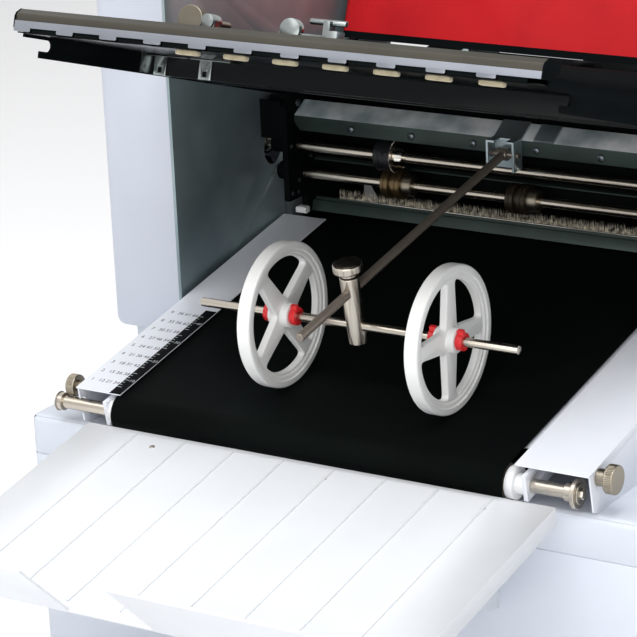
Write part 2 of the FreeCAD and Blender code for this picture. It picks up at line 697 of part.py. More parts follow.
def conveyor_frame():
    """Bed under the belt with its side flanges, which stand on the base, and the axle carriers."""
    left = LEFT_DECK_OUT
    right = RIGHT_DECK_OUT
    bed_top = -BELT_T - BED_DROP
    frame = on_belt(box(left, right, BED_MARGIN + BELT_R, DECK_L - 1, bed_top - BED_T, bed_top))
    nose = belt_point(FLANGE_FRONT, DECK_LIFT)
    chin = belt_point(FLANGE_FRONT, -FLANGE_NOSE)
    heel = belt_point(DECK_L, DECK_LIFT)
    toe = (FRONT + BASE_ROUND, BASE_TOP)
    axle_slot = on_belt(box(left - 1, left + FLANGE_T + 1, -2 * AXLE_R - 20, 0, -BELT_R - AXLE_R - 1.5,
                            -BELT_R + AXLE_R + 1.5))
    axle_slot = axle_slot.fuse(on_belt(rod(left - 1, left + FLANGE_T + 1, 0, -BELT_R, AXLE_R + 1.5)))
    for x in (left, right - FLANGE_T):
        wedge = prism([toe, (heel[0], BASE_TOP), heel, nose, chin], x, x + FLANGE_T)
        frame = frame.fuse(wedge.cut(axle_slot))
    for x in (BELT_LEFT - BUSH_L - CARRIER_T, BELT_RIGHT + BUSH_L + GAP + FLANGE_DISC_T):
        arm = box(x, x + CARRIER_T, -AXLE_R - 4, BED_MARGIN + BELT_R + 30.0, -BELT_R - 10.0, bed_top)
        arm = arm.cut(rod(x - 1, x + CARRIER_T + 1, 0, -BELT_R, AXLE_R + FIT))
        frame = frame.fuse(on_belt(arm))
    for x in (left, right - FLANGE_T):
        hole = on_belt(rod(x - 1, x + FLANGE_T + 1, SIDE_KNOB_S, SIDE_KNOB_N, KNOB_SCREW_R + FIT))
        frame = frame.cut(hole)
    return frame.removeSplitter()


def conveyor_belt():
    x0, x1 = BELT_LEFT, BELT_RIGHT
    outer = stadium(x0, x1, BELT_R)
    inner = stadium(x0 - 1, x1 + 1, BELT_R - BELT_T)
    return on_belt(outer.cut(inner))


def stadium(x0, x1, r):
    flat = box(x0, x1, 0, BELT_L, -BELT_R - r, -BELT_R + r)
    return flat.fuse(rod(x0, x1, 0, -BELT_R, r)).fuse(rod(x0, x1, BELT_L, -BELT_R, r)).removeSplitter()


def belt_bushes():
    """White bushes at both ends of the front axle; the right one has a flanged disc."""
    bore = AXLE_R + FIT
    left = ring(BELT_LEFT - BUSH_L, BELT_LEFT - GAP, 0, -BELT_R, BUSH_R, bore)
    disc = ring(BELT_RIGHT + GAP, BELT_RIGHT + FLANGE_DISC_T, 0, -BELT_R, FLANGE_DISC_R, bore)
    sleeve_end = BELT_RIGHT + FLANGE_DISC_T + BUSH_L + GAP
    sleeve = ring(BELT_RIGHT + FLANGE_DISC_T, sleeve_end, 0, -BELT_R, BUSH_R - 3, bore)
    return [on_belt(left), on_belt(disc.fuse(sleeve))]


def front_roller():
    """Front roller with its long axle, a disc and boss at the right end and a collar at the left."""
    x0 = BELT_LEFT + 2.0
    x1 = BELT_RIGHT - 2.0
    core = rod(x0, x1, 0, -BELT_R, BELT_R - BELT_T - BELT_GAP)
    left_end = LEFT_DECK_OUT - LEFT_KNOB_OUT - SIDE_KNOB_T - GAP - END_DISC_T - 1
    right_end = BELT_RIGHT + FLANGE_DISC_T + BUSH_L + AXLE_END_R
    axle = rod(left_end, right_end, 0, -BELT_R, AXLE_R)
    collar = ring(left_end, left_end + END_DISC_T + 1, 0, -BELT_R, AXLE_R + 2.2, AXLE_R)
    disc = rod(right_end, right_end + END_DISC_T, 0, -BELT_R, END_DISC_R)
    boss = rod(right_end - 8, right_end, 0, -BELT_R, AXLE_R + 2)
    return [on_belt(core.fuse(axle).fuse(disc).fuse(boss).removeSplitter()), on_belt(collar)]


def rear_roller():
    y, z = REAR_ROLLER
    core = rod(BELT_LEFT + 2.0, BELT_RIGHT - 2.0, y, z, BELT_R - BELT_T - BELT_GAP)
    axle = rod(LINE_X - LINE_STEP - LINE_W, WALL_OUT + 2, y, z, AXLE_R)
    pulley = rod(LINE_X - LINE_STEP - LINE_W, LINE_X - LINE_STEP, y, z, CONVEYOR_PULLEY_R)
    return core.fuse(axle).fuse(pulley).removeSplitter()


def deck(points):
    corners = [V(x, s, DECK_LIFT) for x, s in points]
    face = Part.Face(Part.makePolygon(corners + corners[:1]))
    return on_belt(face.extrude(V(0, 0, DECK_T)))


def left_scale_plate():
    inner = BELT_LEFT + LEFT_DECK_LAP
    return deck([(LEFT_DECK_OUT, DECK_FRONT), (inner, DECK_FRONT), (inner, DECK_L), (LEFT_DECK_OUT, DECK_L)])


def right_deck_plate():
    inner = BELT_RIGHT + RIGHT_DECK_GAP
    return deck([(inner, DECK_FRONT), (RIGHT_DECK_OUT, DECK_FRONT), (RIGHT_DECK_OUT, DECK_L), (inner, DECK_L)])


def side_thumbscrew(side):
    """Knurled screw that clamps the conveyor's side: a disc, a neck and a threaded stem."""
    face, out, r = ((LEFT_DECK_OUT, LEFT_KNOB_OUT, LEFT_KNOB_R) if side < 0
                    else (RIGHT_DECK_OUT, RIGHT_KNOB_OUT, RIGHT_KNOB_R))
    s = SIDE_KNOB_S
    n = SIDE_KNOB_N

    def along(a, b):
        return sorted((face + side * a, face + side * b))
    disc = rod(*along(out, out + SIDE_KNOB_T), s, n, r)
    neck = rod(*along(GAP, out), s, n, r - 5)
    stem = rod(*along(-12.0, GAP), s, n, KNOB_SCREW_R)
    return on_belt(disc.fuse(neck).fuse(stem).removeSplitter())


# ---------------------------------------------------------------- stacker
SHAFT_N = WHEEL_R + WHEEL_GAP


def stacker_rod():
    bar = Part.makeCylinder(ROD_R, PIVOT_S - ROD_FREE_S, V(ASM_X, ROD_FREE_S, ROD_N), V(0, 1, 0))
    eye = rod(ASM_X - 5, ASM_X + 5, PIVOT_S, ROD_N, EYE_R)
    pin_half = CLIP_W / 2 + 2
    pin = rod(ASM_X - pin_half, ASM_X + pin_half, PIVOT_S, ROD_N, PIVOT_R)
    tip = [e for e in bar.Edges if abs(e.BoundBox.YMax - ROD_FREE_S) < 0.01 and e.Length > 2 * ROD_R]
    bar = bar.makeChamfer(0.6, tip)
    return on_belt(bar.fuse(eye).fuse(pin).removeSplitter())


def stacker_post():
    post = Part.makeCylinder(POST_R, POST_TOP - POST_LOW, V(ASM_X, WHEEL_S, POST_LOW))
    rims = [e for e in post.Edges if isinstance(e.Curve, Part.Circle)]
    post = post.makeFillet(1.2, rims)
    post = post.cut(rod(ASM_X - 2 * POST_R, ASM_X + 2 * POST_R, WHEEL_S, SHAFT_N, ROD_R))
    cross = Part.makeCylinder(ROD_R + FIT, 4 * POST_R, V(ASM_X, WHEEL_S - 2 * POST_R, ROD_N), V(0, 1, 0))
    post = post.cut(cross)
    bore = Part.makeCylinder(KNOB_SCREW_R + FIT, POST_TOP - ROD_N + 1, V(ASM_X, WHEEL_S, ROD_N))
    return on_belt(post.cut(bore))


def wheel_shaft():
    return on_belt(rod(ASM_X + WHEEL_SHAFT_LEFT, ASM_X + WHEEL_SHAFT_RIGHT, WHEEL_S, SHAFT_N, ROD_R))


def post_knob():
    base = V(ASM_X, WHEEL_S, POST_TOP + GAP)
    neck = Part.makeCylinder(KNOB_SCREW_R + 4, KNOB_NECK - GAP, base)
    disc = Part.makeCylinder(KNOB_R, KNOB_H, V(ASM_X, WHEEL_S, POST_TOP + KNOB_NECK))
    rims = [e for e in disc.Edges if isinstance(e.Curve, Part.Circle)]
    disc = disc.makeFillet(1.0, rims)
    tip = ROD_N + ROD_R + GAP
    stem = Part.makeCylinder(KNOB_SCREW_R, POST_TOP + KNOB_NECK - tip, V(ASM_X, WHEEL_S, tip))
    return on_belt(disc.fuse(neck).fuse(stem).removeSplitter())


def wheel(at):
    """Rimmed wheel with four tapered spokes set as an X; the openings have rounded corners."""
    c = ASM_X + at
    half = WHEEL_T / 2
    disc = rod(c - half, c + half, 0, 0, WHEEL_R)
    rim_edges = [e for e in disc.Edges if isinstance(e.Curve, Part.Circle)]
    disc = disc.makeFillet(2.0, rim_edges)
    inner = WHEEL_R - WHEEL_RIM
    for face in (-1, 1):
        a, b = sorted((c + face * WHEEL_WEB / 2, c + face * (half + 1)))
        disc = disc.cut(rod(a, b, 0, 0, inner))
        a, b = sorted((c + face * (half - 1.5), c + face * (half + 1)))
        disc = disc.cut(rod(a, b, 0, 0, inner + 3.5))
    open_r = inner - 3.0
    spread = 45.0 - math.degrees(math.asin(SPOKE_HALF / open_r))
    apex = (SPOKE_HALF + 1.0) * math.sqrt(2) + 5.0
    for quarter in range(4):
        mid = 90.0 * quarter
        left = polar((0, 0), mid - spread, open_r)
        right = polar((0, 0), mid + spread, open_r)
        crest = polar((0, 0), mid, open_r)
        tip = polar((0, 0), mid, apex)
        a, b, m, t = (V(c - half, p[0], p[1]) for p in (left, right, crest, tip))
        wire = Part.Wire([Part.Arc(a, m, b).toShape(), Part.makeLine(b, t), Part.makeLine(t, a)])
        window = Part.Face(wire).extrude(V(WHEEL_T, 0, 0))
        window = window.makeFillet(5.0, edges_along(window, X_AXIS))
        disc = disc.cut(window)
    disc = disc.fuse(rod(c - HUB_L / 2, c + HUB_L / 2, 0, 0, HUB_R))
    disc = disc.cut(rod(c - HUB_L, c + HUB_L, 0, 0, ROD_R + FIT))
    disc.translate(V(0, WHEEL_S, SHAFT_N))
    return on_belt(disc.removeSplitter())


def wheel_clips(at):
    """The red clips that hold a wheel's place on its shaft, one each side of the hub."""
    c = ASM_X + at
    clips = []
    for face in (-1, 1):
        a, b = sorted((c + face * (HUB_L / 2 + GAP), c + face * (HUB_L / 2 + GAP + CLIP_L)))
        clip = ring(a, b, WHEEL_S, SHAFT_N, CLIP_R, ROD_R + FIT)
        ear = box(a, b, WHEEL_S - 2, WHEEL_S + 2, SHAFT_N + CLIP_R - 1, SHAFT_N + CLIP_R + 3)
        clips.append(on_belt(clip.fuse(ear).removeSplitter()))
    return clips


# ---------------------------------------------------------------- folding rollers and tool shafts
def tooth_phases():
    """Gear phases down the train, so that each gear's tooth meets its neighbour's gap."""
    phases = [0.0]
    for a, b in zip(ROLLERS, ROLLERS[1:]):
        angle = math.degrees(math.atan2(b[1] - a[1], b[0] - a[0]))
        phases.append(meshing_phase(angle, phases[-1]))
    return phases


PHASES = tooth_phases()


def fold_roller(index):
    """Rubber-covered roller, its steel shaft and the gear on its right-hand end."""
    y, z = ROLLERS[index]
    left_ends = {0: LINE_X - LINE_STEP - LINE_W, 2: LINE_X - LINE_W}
    left_end = left_ends.get(index, -WALL_OUT - 2.0)
    right_end = PULLEY_X + PULLEY_W if index == 1 else GEAR_X + GEAR_W
    shaft = rod(left_end, right_end, y, z, JOURNAL_R)
    cover = ring(-FRAME_IN + ROLLER_END, FRAME_IN - ROLLER_END, y, z, ROLLER_R, JOURNAL_R)
    toothed = gear(GEAR_X, (y, z), CENTRES / 2, PHASES[index])
    shaft = shaft.fuse(toothed)
    if index == 1:
        shaft = shaft.fuse(rod(PULLEY_X, PULLEY_X + PULLEY_W, y, z, MAIN_PULLEY_R))
    if index == 0:
        shaft = shaft.fuse(rod(LINE_X - LINE_STEP - LINE_W, LINE_X - LINE_STEP, y, z, LINE_PULLEY_R))
    if index == 2:
        shaft = shaft.fuse(rod(LINE_X - LINE_W, LINE_X, y, z, LINE_PULLEY_R))
    return [shaft.removeSplitter(), cover]


TOOL_ANGLE = math.degrees(math.atan2(TOOL_LOWER[1] - TOOL_UPPER[1], TOOL_LOWER[0] - TOOL_UPPER[0]))
TOOL_CENTRES = math.hypot(TOOL_LOWER[1] - TOOL_UPPER[1], TOOL_LOWER[0] - TOOL_UPPER[0])


def tool_shaft_upper():
    y, z = TOOL_UPPER
    shaft = rod(LINE_X - LINE_W, GEAR_X + GEAR_W, y, z, TOOL_R)
    shaft = shaft.fuse(rod(LINE_X - LINE_W, LINE_X, y, z, LINE_PULLEY_R))
    return shaft.fuse(gear(GEAR_X, TOOL_UPPER, TOOL_CENTRES / 2, 0.0)).removeSplitter()


def tool_shaft_lower():
    y, z = TOOL_LOWER
    shaft = rod(LINE_X - LINE_STEP - LINE_W, GEAR_X + GEAR_W, y, z, TOOL_R)
    shaft = shaft.fuse(rod(LINE_X - LINE_STEP - LINE_W, LINE_X - LINE_STEP, y, z, LINE_PULLEY_R))
    phase = meshing_phase(TOOL_ANGLE, 0.0)
    return shaft.fuse(gear(GEAR_X, TOOL_LOWER, TOOL_CENTRES / 2, phase)).removeSplitter()


def perforating_blade():
    """Black clamp, thin blade and chrome collar on the upper tool shaft."""
    y, z = TOOL_UPPER
    x = CLAMP_AT
    clamp = ring(x, x + CLAMP_W, y, z, CLAMP_R, TOOL_R)
    blade = ring(x + CLAMP_W, x + CLAMP_W + BLADE_W, y, z, BLADE_R, TOOL_R)
    chrome = ring(x + CLAMP_W + BLADE_W, x + CLAMP_W + BLADE_W + CHROME_W, y, z, CHROME_R, TOOL_R)
    return [clamp, blade, chrome]


def counter_collars():
    y, z = TOOL_LOWER
    rings = []
    for x in COLLAR_AT:
        whole = ring(x, x + COLLAR_W, y, z, COLLAR_R, TOOL_R)
        groove = ring(x + COLLAR_W * 0.4, x + COLLAR_W * 0.6, y, z, COLLAR_R + 1, COLLAR_R - 3)
        hub = ring(x + COLLAR_W, x + COLLAR_W + COLLAR_HUB_W, y, z, COLLAR_HUB_R, TOOL_R)
        rings.append(whole.cut(groove).fuse(hub))
    return rings


# ---------------------------------------------------------------- upper fold plate
ARM_IN = ARM_X - ARM_T
CHUTE_LOW = CHUTE_V - CHUTE_GAP / 2
CHUTE_HIGH = CHUTE_V + CHUTE_GAP / 2


def fold_plate_arm(side):
    """Side arm of the fold plate, slotted at its front end and drilled at its rear hinge."""
    x0, x1 = sorted((side * ARM_IN, side * ARM_X))
    body = box(x0, x1, ARM_NOSE, HINGE_U, 0, ARM_H).fuse(rod(x0, x1, HINGE_U, HINGE_V, ARM_H / 2))
    slot_mid = SLOT_LOW + SLOT_W / 2
    slot = box(x0 - 1, x1 + 1, ARM_NOSE - 1, SLOT_D - SLOT_W / 2, SLOT_LOW, SLOT_LOW + SLOT_W)
    slot = slot.fuse(rod(x0 - 1, x1 + 1, SLOT_D - SLOT_W / 2, slot_mid, SLOT_W / 2))
    below = box(x0 - 1, x1 + 1, ARM_NOSE - 1, 0, -1, SLOT_LOW + 1)
    body = body.cut(slot).cut(below)
    out0, out1 = sorted((side * ARM_X, side * (WALL_OUT - GAP)))
    pin = rod(min(x0, out0), max(x1, out1), HINGE_U, HINGE_V, HINGE_R)
    return on_plate(body.fuse(pin).removeSplitter())


def tooth_start():
    """x of the first tooth, from which the teeth run on at their pitch past the last pad."""
    return PAD_FIRST - TOOTH_PITCH * int((ARM_IN + PAD_FIRST) // TOOTH_PITCH)


def chute_sheet(low):
    """One sheet of the chute: toothed front edge, narrower where it runs between the frames."""
    wide = ARM_IN
    narrow = FRAME_IN - CHUTE_SIDE
    body = box(-wide, wide, CHUTE_FRONT, CHUTE_NARROW_U, low, low + CHUTE_T)
    body = body.fuse(box(-narrow, narrow, CHUTE_NARROW_U, CHUTE_BACK, low, low + CHUTE_T))
    first = tooth_start()
    for k in range(int((wide - first) // TOOTH_PITCH) + 1):
        x = first + k * TOOTH_PITCH + TOOTH_PITCH / 2
        body = body.cut(box(x - TOOTH_W / 2, x + TOOTH_W / 2, CHUTE_FRONT - 1, CHUTE_FRONT + TOOTH_D,
                            low - 1, low + CHUTE_T + 1))
    return body.removeSplitter()


def fold_plate_sheets():
    lower = chute_sheet(CHUTE_LOW - CHUTE_T)
    upper = chute_sheet(CHUTE_HIGH)
    for x in (-STOP_SLOT_X, STOP_SLOT_X):
        upper = upper.cut(box(x - STOP_SLOT_W / 2, x + STOP_SLOT_W / 2, STOP_U - STOP_SLOT_BACK,
                              STOP_U + STOP_SLOT_AHEAD, CHUTE_HIGH - 1, CHUTE_HIGH + CHUTE_T + 1))
    for k in range(2):
        u = STIFF_U + k * STIFF_STEP
        web = box(-ARM_IN, ARM_IN, u, u + FLANGE_T, 0.5, CHUTE_LOW - CHUTE_T)
        foot = box(-ARM_IN, ARM_IN, u, u + STIFF_D, 0.5, 0.5 + FLANGE_T)
        lower = lower.fuse(web).fuse(foot)
    return [on_plate(lower.removeSplitter()), on_plate(upper)]


BAR_LOW = CHUTE_HIGH + CHUTE_T


def fold_plate_bar():
    """Extruded bar along the front of the fold plate, its upper front edge cut back, with a row
    of tabs under its front edge."""
    u0 = CHUTE_FRONT - 3.0
    outline = [(u0, BAR_LOW), (u0 + BAR_D, BAR_LOW), (u0 + BAR_D, BAR_LOW + BAR_H),
               (u0 + BAR_CHAMFER, BAR_LOW + BAR_H), (u0 + 1.5, BAR_LOW + BAR_H - 3.5),
               (u0, BAR_LOW + BAR_H - BAR_CHAMFER)]
    bar = prism(outline, -ARM_X, ARM_X)
    x = tooth_start() + TOOTH_PITCH
    while x < ARM_IN - TOOTH_PITCH / 2:
        bar = bar.fuse(box(x - LIP_W / 2, x + LIP_W / 2, u0, u0 + LIP_T, BAR_LOW - LIP_H, BAR_LOW + 1))
        x += TOOTH_PITCH
    return on_plate(bar.removeSplitter())


def felt_pads():
    pads = []
    for k in range(PAD_COUNT):
        x = PAD_FIRST + k * TOOTH_PITCH
        top = CHUTE_LOW - CHUTE_T
        pads.append(on_plate(box(x - TOOTH_W / 2, x + TOOTH_W / 2, CHUTE_FRONT + 3, CHUTE_FRONT + 3 + PAD_D,
                                 top - PAD_H, top)))
    return pads


def plate_brackets():
    """Zinc corner brackets of the stiffeners, the spindle's bearing block and the skew adjuster."""
    solids = []
    for k in range(2):
        u = STIFF_U + k * STIFF_STEP
        for side in (-1, 1):
            x0, x1 = sorted((side * (ARM_IN - FLANGE_T), side * ARM_IN))
            solids.append(on_plate(box(x0, x1, u - CORNER_L, u, 1, CHUTE_LOW - CHUTE_T)))
    ceiling = CHUTE_LOW - CHUTE_T
    for x in HANGER_AT:
        hanger = box(x, x + HANGER_W, STIFF_U - FLANGE_T, STIFF_U, 0.5, ceiling)
        foot = box(x, x + HANGER_FOOT, STIFF_U - HANGER_D, STIFF_U, ceiling - FLANGE_T, ceiling)
        slot = box(x + HANGER_W / 2 - 2, x + HANGER_W / 2 + 2, STIFF_U - 3 * FLANGE_T, STIFF_U + 1, 3, 8)
        hanger = hanger.fuse(foot).cut(slot)
        solids.append(on_plate(hanger.removeSplitter()))
    top = BAR_LOW
    u0 = STOP_KNOB_U + STOP_KNOB_T + BLOCK_GAP
    half = BLOCK_W / 2
    block = box(STOP_KNOB_X - half, STOP_KNOB_X + half, u0, u0 + BLOCK_D, top, STOP_KNOB_V + 7)
    start = V(STOP_KNOB_X, u0 - BLOCK_D, STOP_KNOB_V)
    bore = Part.makeCylinder(SPINDLE_R + FIT, 3 * BLOCK_D, start, V(0, 1, 0))
    block = block.cut(bore)
    solids.append(on_plate(block))
    bar_back = CHUTE_FRONT - 3.0 + BAR_D
    stud = Part.makeCylinder(6.0, 14, V(STOP_KNOB_X + 24, bar_back + 2, top + 19), V(0, 1, 0))
    stud = stud.fuse(box(STOP_KNOB_X + 18, STOP_KNOB_X + 30, bar_back + 4, bar_back + 12, top, top + 19))
    solids.append(on_plate(stud.removeSplitter()))
    x = 2.0
    cap = Part.makeCylinder(9.5, 8, V(x, bar_back + 3, top + 18), V(0, 1, 0))
    cap = cap.fuse(box(x - 12, x + 44, bar_back + 6, bar_back + 9, top, top + 16))
    cap = cap.fuse(box(x + 34, x + 46, bar_back + 2, bar_back + 14, top, top + 20))
    cap = cap.fuse(rod(x + 12, x + 46, bar_back + 16, top + 27, 2.5))
    cap = cap.fuse(box(x + 28, x + 34, bar_back + 9, bar_back + 18, top + 8, top + 28))
    solids.append(on_plate(cap.removeSplitter()))
    return solids


def paper_stop():
    """Stop that the sheet runs up to, carried over the chute by a cross bar on two legs."""
    half = STOP_W / 2
    fence = box(-half, half, STOP_U, STOP_U + STOP_T, CHUTE_LOW + GAP, CHUTE_HIGH - GAP)
    top = BAR_LOW + GAP
    carrier = box(-half, half, STOP_U - 6, STOP_U + 10, top, top + 6)
    body = fence.fuse(carrier)
    for x in (-STOP_SLOT_X, STOP_SLOT_X):
        half_leg = STOP_SLOT_W / 2 - 1
        leg = box(x - half_leg, x + half_leg, STOP_U, STOP_U + STOP_T, CHUTE_LOW + GAP, top + 3)
        body = body.fuse(leg)
    return on_plate(body.removeSplitter())


def stop_knob():
    """Knurled knob on the spindle that trims the stop."""
    at = V(STOP_KNOB_X, STOP_KNOB_U, STOP_KNOB_V)
    disc = Part.makeCylinder(STOP_KNOB_R, STOP_KNOB_T, at, V(0, 1, 0))
    rims = [e for e in disc.Edges if isinstance(e.Curve, Part.Circle)]
    disc = disc.makeFillet(1.0, rims)
    return on_plate(disc.fuse(Part.makeCylinder(SPINDLE_R, SPINDLE_L, at, V(0, 1, 0))).removeSplitter())


def lower_fold_plate():
    """Second fold plate: two sheets down into the base, closed at the sides by ties to the frames."""
    nip = polar(ROLLER_2, SECOND_NIP_ANGLE, CENTRES / 2)
    angle = SECOND_NIP_ANGLE + 90.0
    end_y = BASE_D / 2 - SHEET - LOWER_WALL_GAP
    reach = (end_y - nip[0]) / math.cos(math.radians(angle))
    start = polar(nip, angle, LOWER_START)
    end = polar(nip, angle, reach)
    half = FRAME_IN
    sheets = []
    for side in (-1, 1):
        off = LOWER_GAP / 2
        a = polar(start, SECOND_NIP_ANGLE, side * off)
        b = polar(end, SECOND_NIP_ANGLE, side * off)
        c = polar(end, SECOND_NIP_ANGLE, side * (off + RAIL_T))
        d = polar(start, SECOND_NIP_ANGLE, side * (off + RAIL_T))
        sheets.append(prism([a, b, c, d], -half, half))
    stop_at = polar(nip, angle, LOWER_START + (reach - LOWER_START) * 0.7)
    corner = [polar(stop_at, SECOND_NIP_ANGLE, side * LOWER_GAP / 2) for side in (-1, 1)]
    far = [polar(p, angle, STOP_T) for p in corner]
    sheets.append(prism([corner[0], corner[1], far[1], far[0]], -half + 20, half - 20))
    return sheets


# ---------------------------------------------------------------- feed side
def feed_table():
    """Feed table with its two side supports, and the separator pad under the feed wheels."""
    half = FEED_W / 2
    top = box(-half, half, 0, FEED_L, 0, FEED_T)
    rounded = [e for e in edges_along(top, V(0, 0, 1)) if e.CenterOfMass.y > FEED_L - 1]
    top = top.makeFillet(20.0, rounded)
    top = top.fuse(box(-half + 20, half - 20, FEED_L - FEED_T, FEED_L, -18, 0))
    for side in (-1, 1):
        s0, s1 = sorted((side * (GUIDE_AT - GUIDE_SLOT_IN), side * (GUIDE_AT + GUIDE_SLOT_OUT)))
        top = top.cut(box(s0, s1, GUIDE_SLOT_S, GUIDE_SLOT_S + GUIDE_SLOT_W, -1, FEED_T + 1))
    top = on_feed(top)
    for side in (-1, 1):
        x0, x1 = sorted((side * (half - SHEET), side * WALL_IN))
        y0, z0 = feed_point(6, 0)
        y1, z1 = feed_point(90, 0)
        web_x0, web_x1 = sorted((side * (half - SHEET), side * half))
        web = prism([(y0, z0), (y0, z0 - 24), (y1, z1 - 24), (y1, z1)], web_x0, web_x1)
        ear = box(x0, x1, y0, y0 + 60, z0 - 24, z0 - 24 + SHEET)
        top = top.fuse(web).fuse(ear)
    pad_y = FEED_SHAFT_AT
    window = on_feed(box(-PAD_W / 2 - GAP, PAD_W / 2 + GAP, pad_y - 12 - GAP, pad_y + 12 + GAP, -1, FEED_T + 1))
    pad = box(-PAD_W / 2, PAD_W / 2, pad_y - 12, pad_y + 12, -1, FEED_T)
    pad = pad.fuse(box(-PAD_W / 2 - 6, PAD_W / 2 + 6, pad_y - 18, pad_y + 18, -5, 0))
    return [top.cut(window).removeSplitter(), on_feed(pad.removeSplitter())]


def feed_roller():
    y, z = FEED_SHAFT
    shaft = rod(LINE_X - LINE_STEP - LINE_W, WALL_OUT + 2, y, z, TOOL_R)
    shaft = shaft.fuse(rod(LINE_X - LINE_STEP - LINE_W, LINE_X - LINE_STEP, y, z, LINE_PULLEY_R))
    parts = [shaft.removeSplitter()]
    for k in (-1, 0, 1):
        x = k * FEED_WHEEL_STEP
        parts.append(ring(x - FEED_WHEEL_W / 2, x + FEED_WHEEL_W / 2, y, z, FEED_WHEEL_R, TOOL_R))
    return parts


def paper_guide(side):
    """Side guide on the feed table: an upright wall on a foot that slides over the table."""
    face = side * GUIDE_AT
    x0, x1 = sorted((face, face + side * GUIDE_T))
    f0, f1 = sorted((face, face + side * GUIDE_FOOT))
    low = FEED_T + GAP
    wall = box(x0, x1, GUIDE_START, GUIDE_START + GUIDE_L, low, low + GUIDE_H)
    ends = [e for e in edges_along(wall, X_AXIS) if e.CenterOfMass.z > low + 1]
    wall = wall.makeFillet(10.0, ends)
    foot = box(f0, f1, GUIDE_START, GUIDE_START + GUIDE_L, low, low + GUIDE_T)
    m0, m1 = sorted((face + side * TONGUE_X, face + side * (TONGUE_X + TONGUE_W)))
    tongue = box(m0, m1, GUIDE_SLOT_S + 1, GUIDE_SLOT_S + GUIDE_SLOT_W - 1, -3, low)
    return on_feed(wall.fuse(foot).fuse(tongue).removeSplitter())


def red_cover():
    """Hinged safety cover over the rollers: sloped front, top, end cheeks and hinge barrel."""
    half = WALL_IN - COVER_GAP
    low, top, hinge = COVER_LOW, COVER_TOP, COVER_HINGE
    t = COVER_T
    body = prism([low, (low[0] + t, low[1]), (top[0] + t, top[1] - t), (hinge[0], hinge[1] - t - 2),
                  (hinge[0], hinge[1]), top], -half, half)
    for side in (-1, 1):
        x0, x1 = sorted((side * half, side * (half - t)))
        cheek = prism([low, (low[0] + 34, low[1]), (hinge[0], hinge[1] - 30), hinge, top], x0, x1)
        body = body.fuse(cheek)
    barrel = rod(-half, half, hinge[0], hinge[1], HINGE_R + 1.5)
    pin = rod(-WALL_OUT + GAP, WALL_OUT - GAP, hinge[0], hinge[1], HINGE_R)
    return body.fuse(barrel).fuse(pin).removeSplitter()


# ---------------------------------------------------------------- drive
def drive_motor():
    """Gear motor on its bracket, which stands off the right side plate."""
    y, z = MOTOR_AT
    face = PULLEY_X + PULLEY_W + 3.0
    can = rod(face + PLATE_T, face + PLATE_T + MOTOR_L, y, z, MOTOR_R)
    half = MOTOR_R + 4.0
    bracket = box(face, face + PLATE_T, y - half, y + half, z - half, z + half)
    bracket = bracket.cut(rod(face - 1, face + PLATE_T + 1, y, z, MOTOR_PULLEY_R))
    for sy in (-1, 1):
        for sz in (-1, 1):
            bracket = bracket.fuse(rod(WALL_OUT, face, y + sy * (half - 5), z + sz * (half - 5), 4.0))
    return [can, bracket.removeSplitter()]


def motor_pulley():
    y, z = MOTOR_AT
    face = PULLEY_X + PULLEY_W + 3.0
    wheel_part = rod(PULLEY_X, PULLEY_X + PULLEY_W, y, z, MOTOR_PULLEY_R)
    return wheel_part.fuse(rod(PULLEY_X + PULLEY_W, face + PLATE_T - GAP, y, z, 4.0)).removeSplitter()


def drive_belts():
    main = loop_belt(PULLEY_X + 1, PULLEY_X + PULLEY_W - 1, MOTOR_AT, ROLLER_2, MOTOR_PULLEY_R,
                     MAIN_PULLEY_R, DRIVE_BELT_T)
    near = (LINE_X - LINE_W + 0.5, LINE_X - 0.5)
    far = (near[0] - LINE_STEP, near[1] - LINE_STEP)
    tools = loop_belt(*near, TOOL_UPPER, ROLLER_3, LINE_PULLEY_R, LINE_PULLEY_R, DRIVE_BELT_T)
    conveyor = loop_belt(*far, TOOL_LOWER, REAR_ROLLER, LINE_PULLEY_R, CONVEYOR_PULLEY_R, DRIVE_BELT_T)
    feed = loop_belt(*far, ROLLER_1, FEED_SHAFT, LINE_PULLEY_R, LINE_PULLEY_R, DRIVE_BELT_T)
    return [main, tools, conveyor, feed]


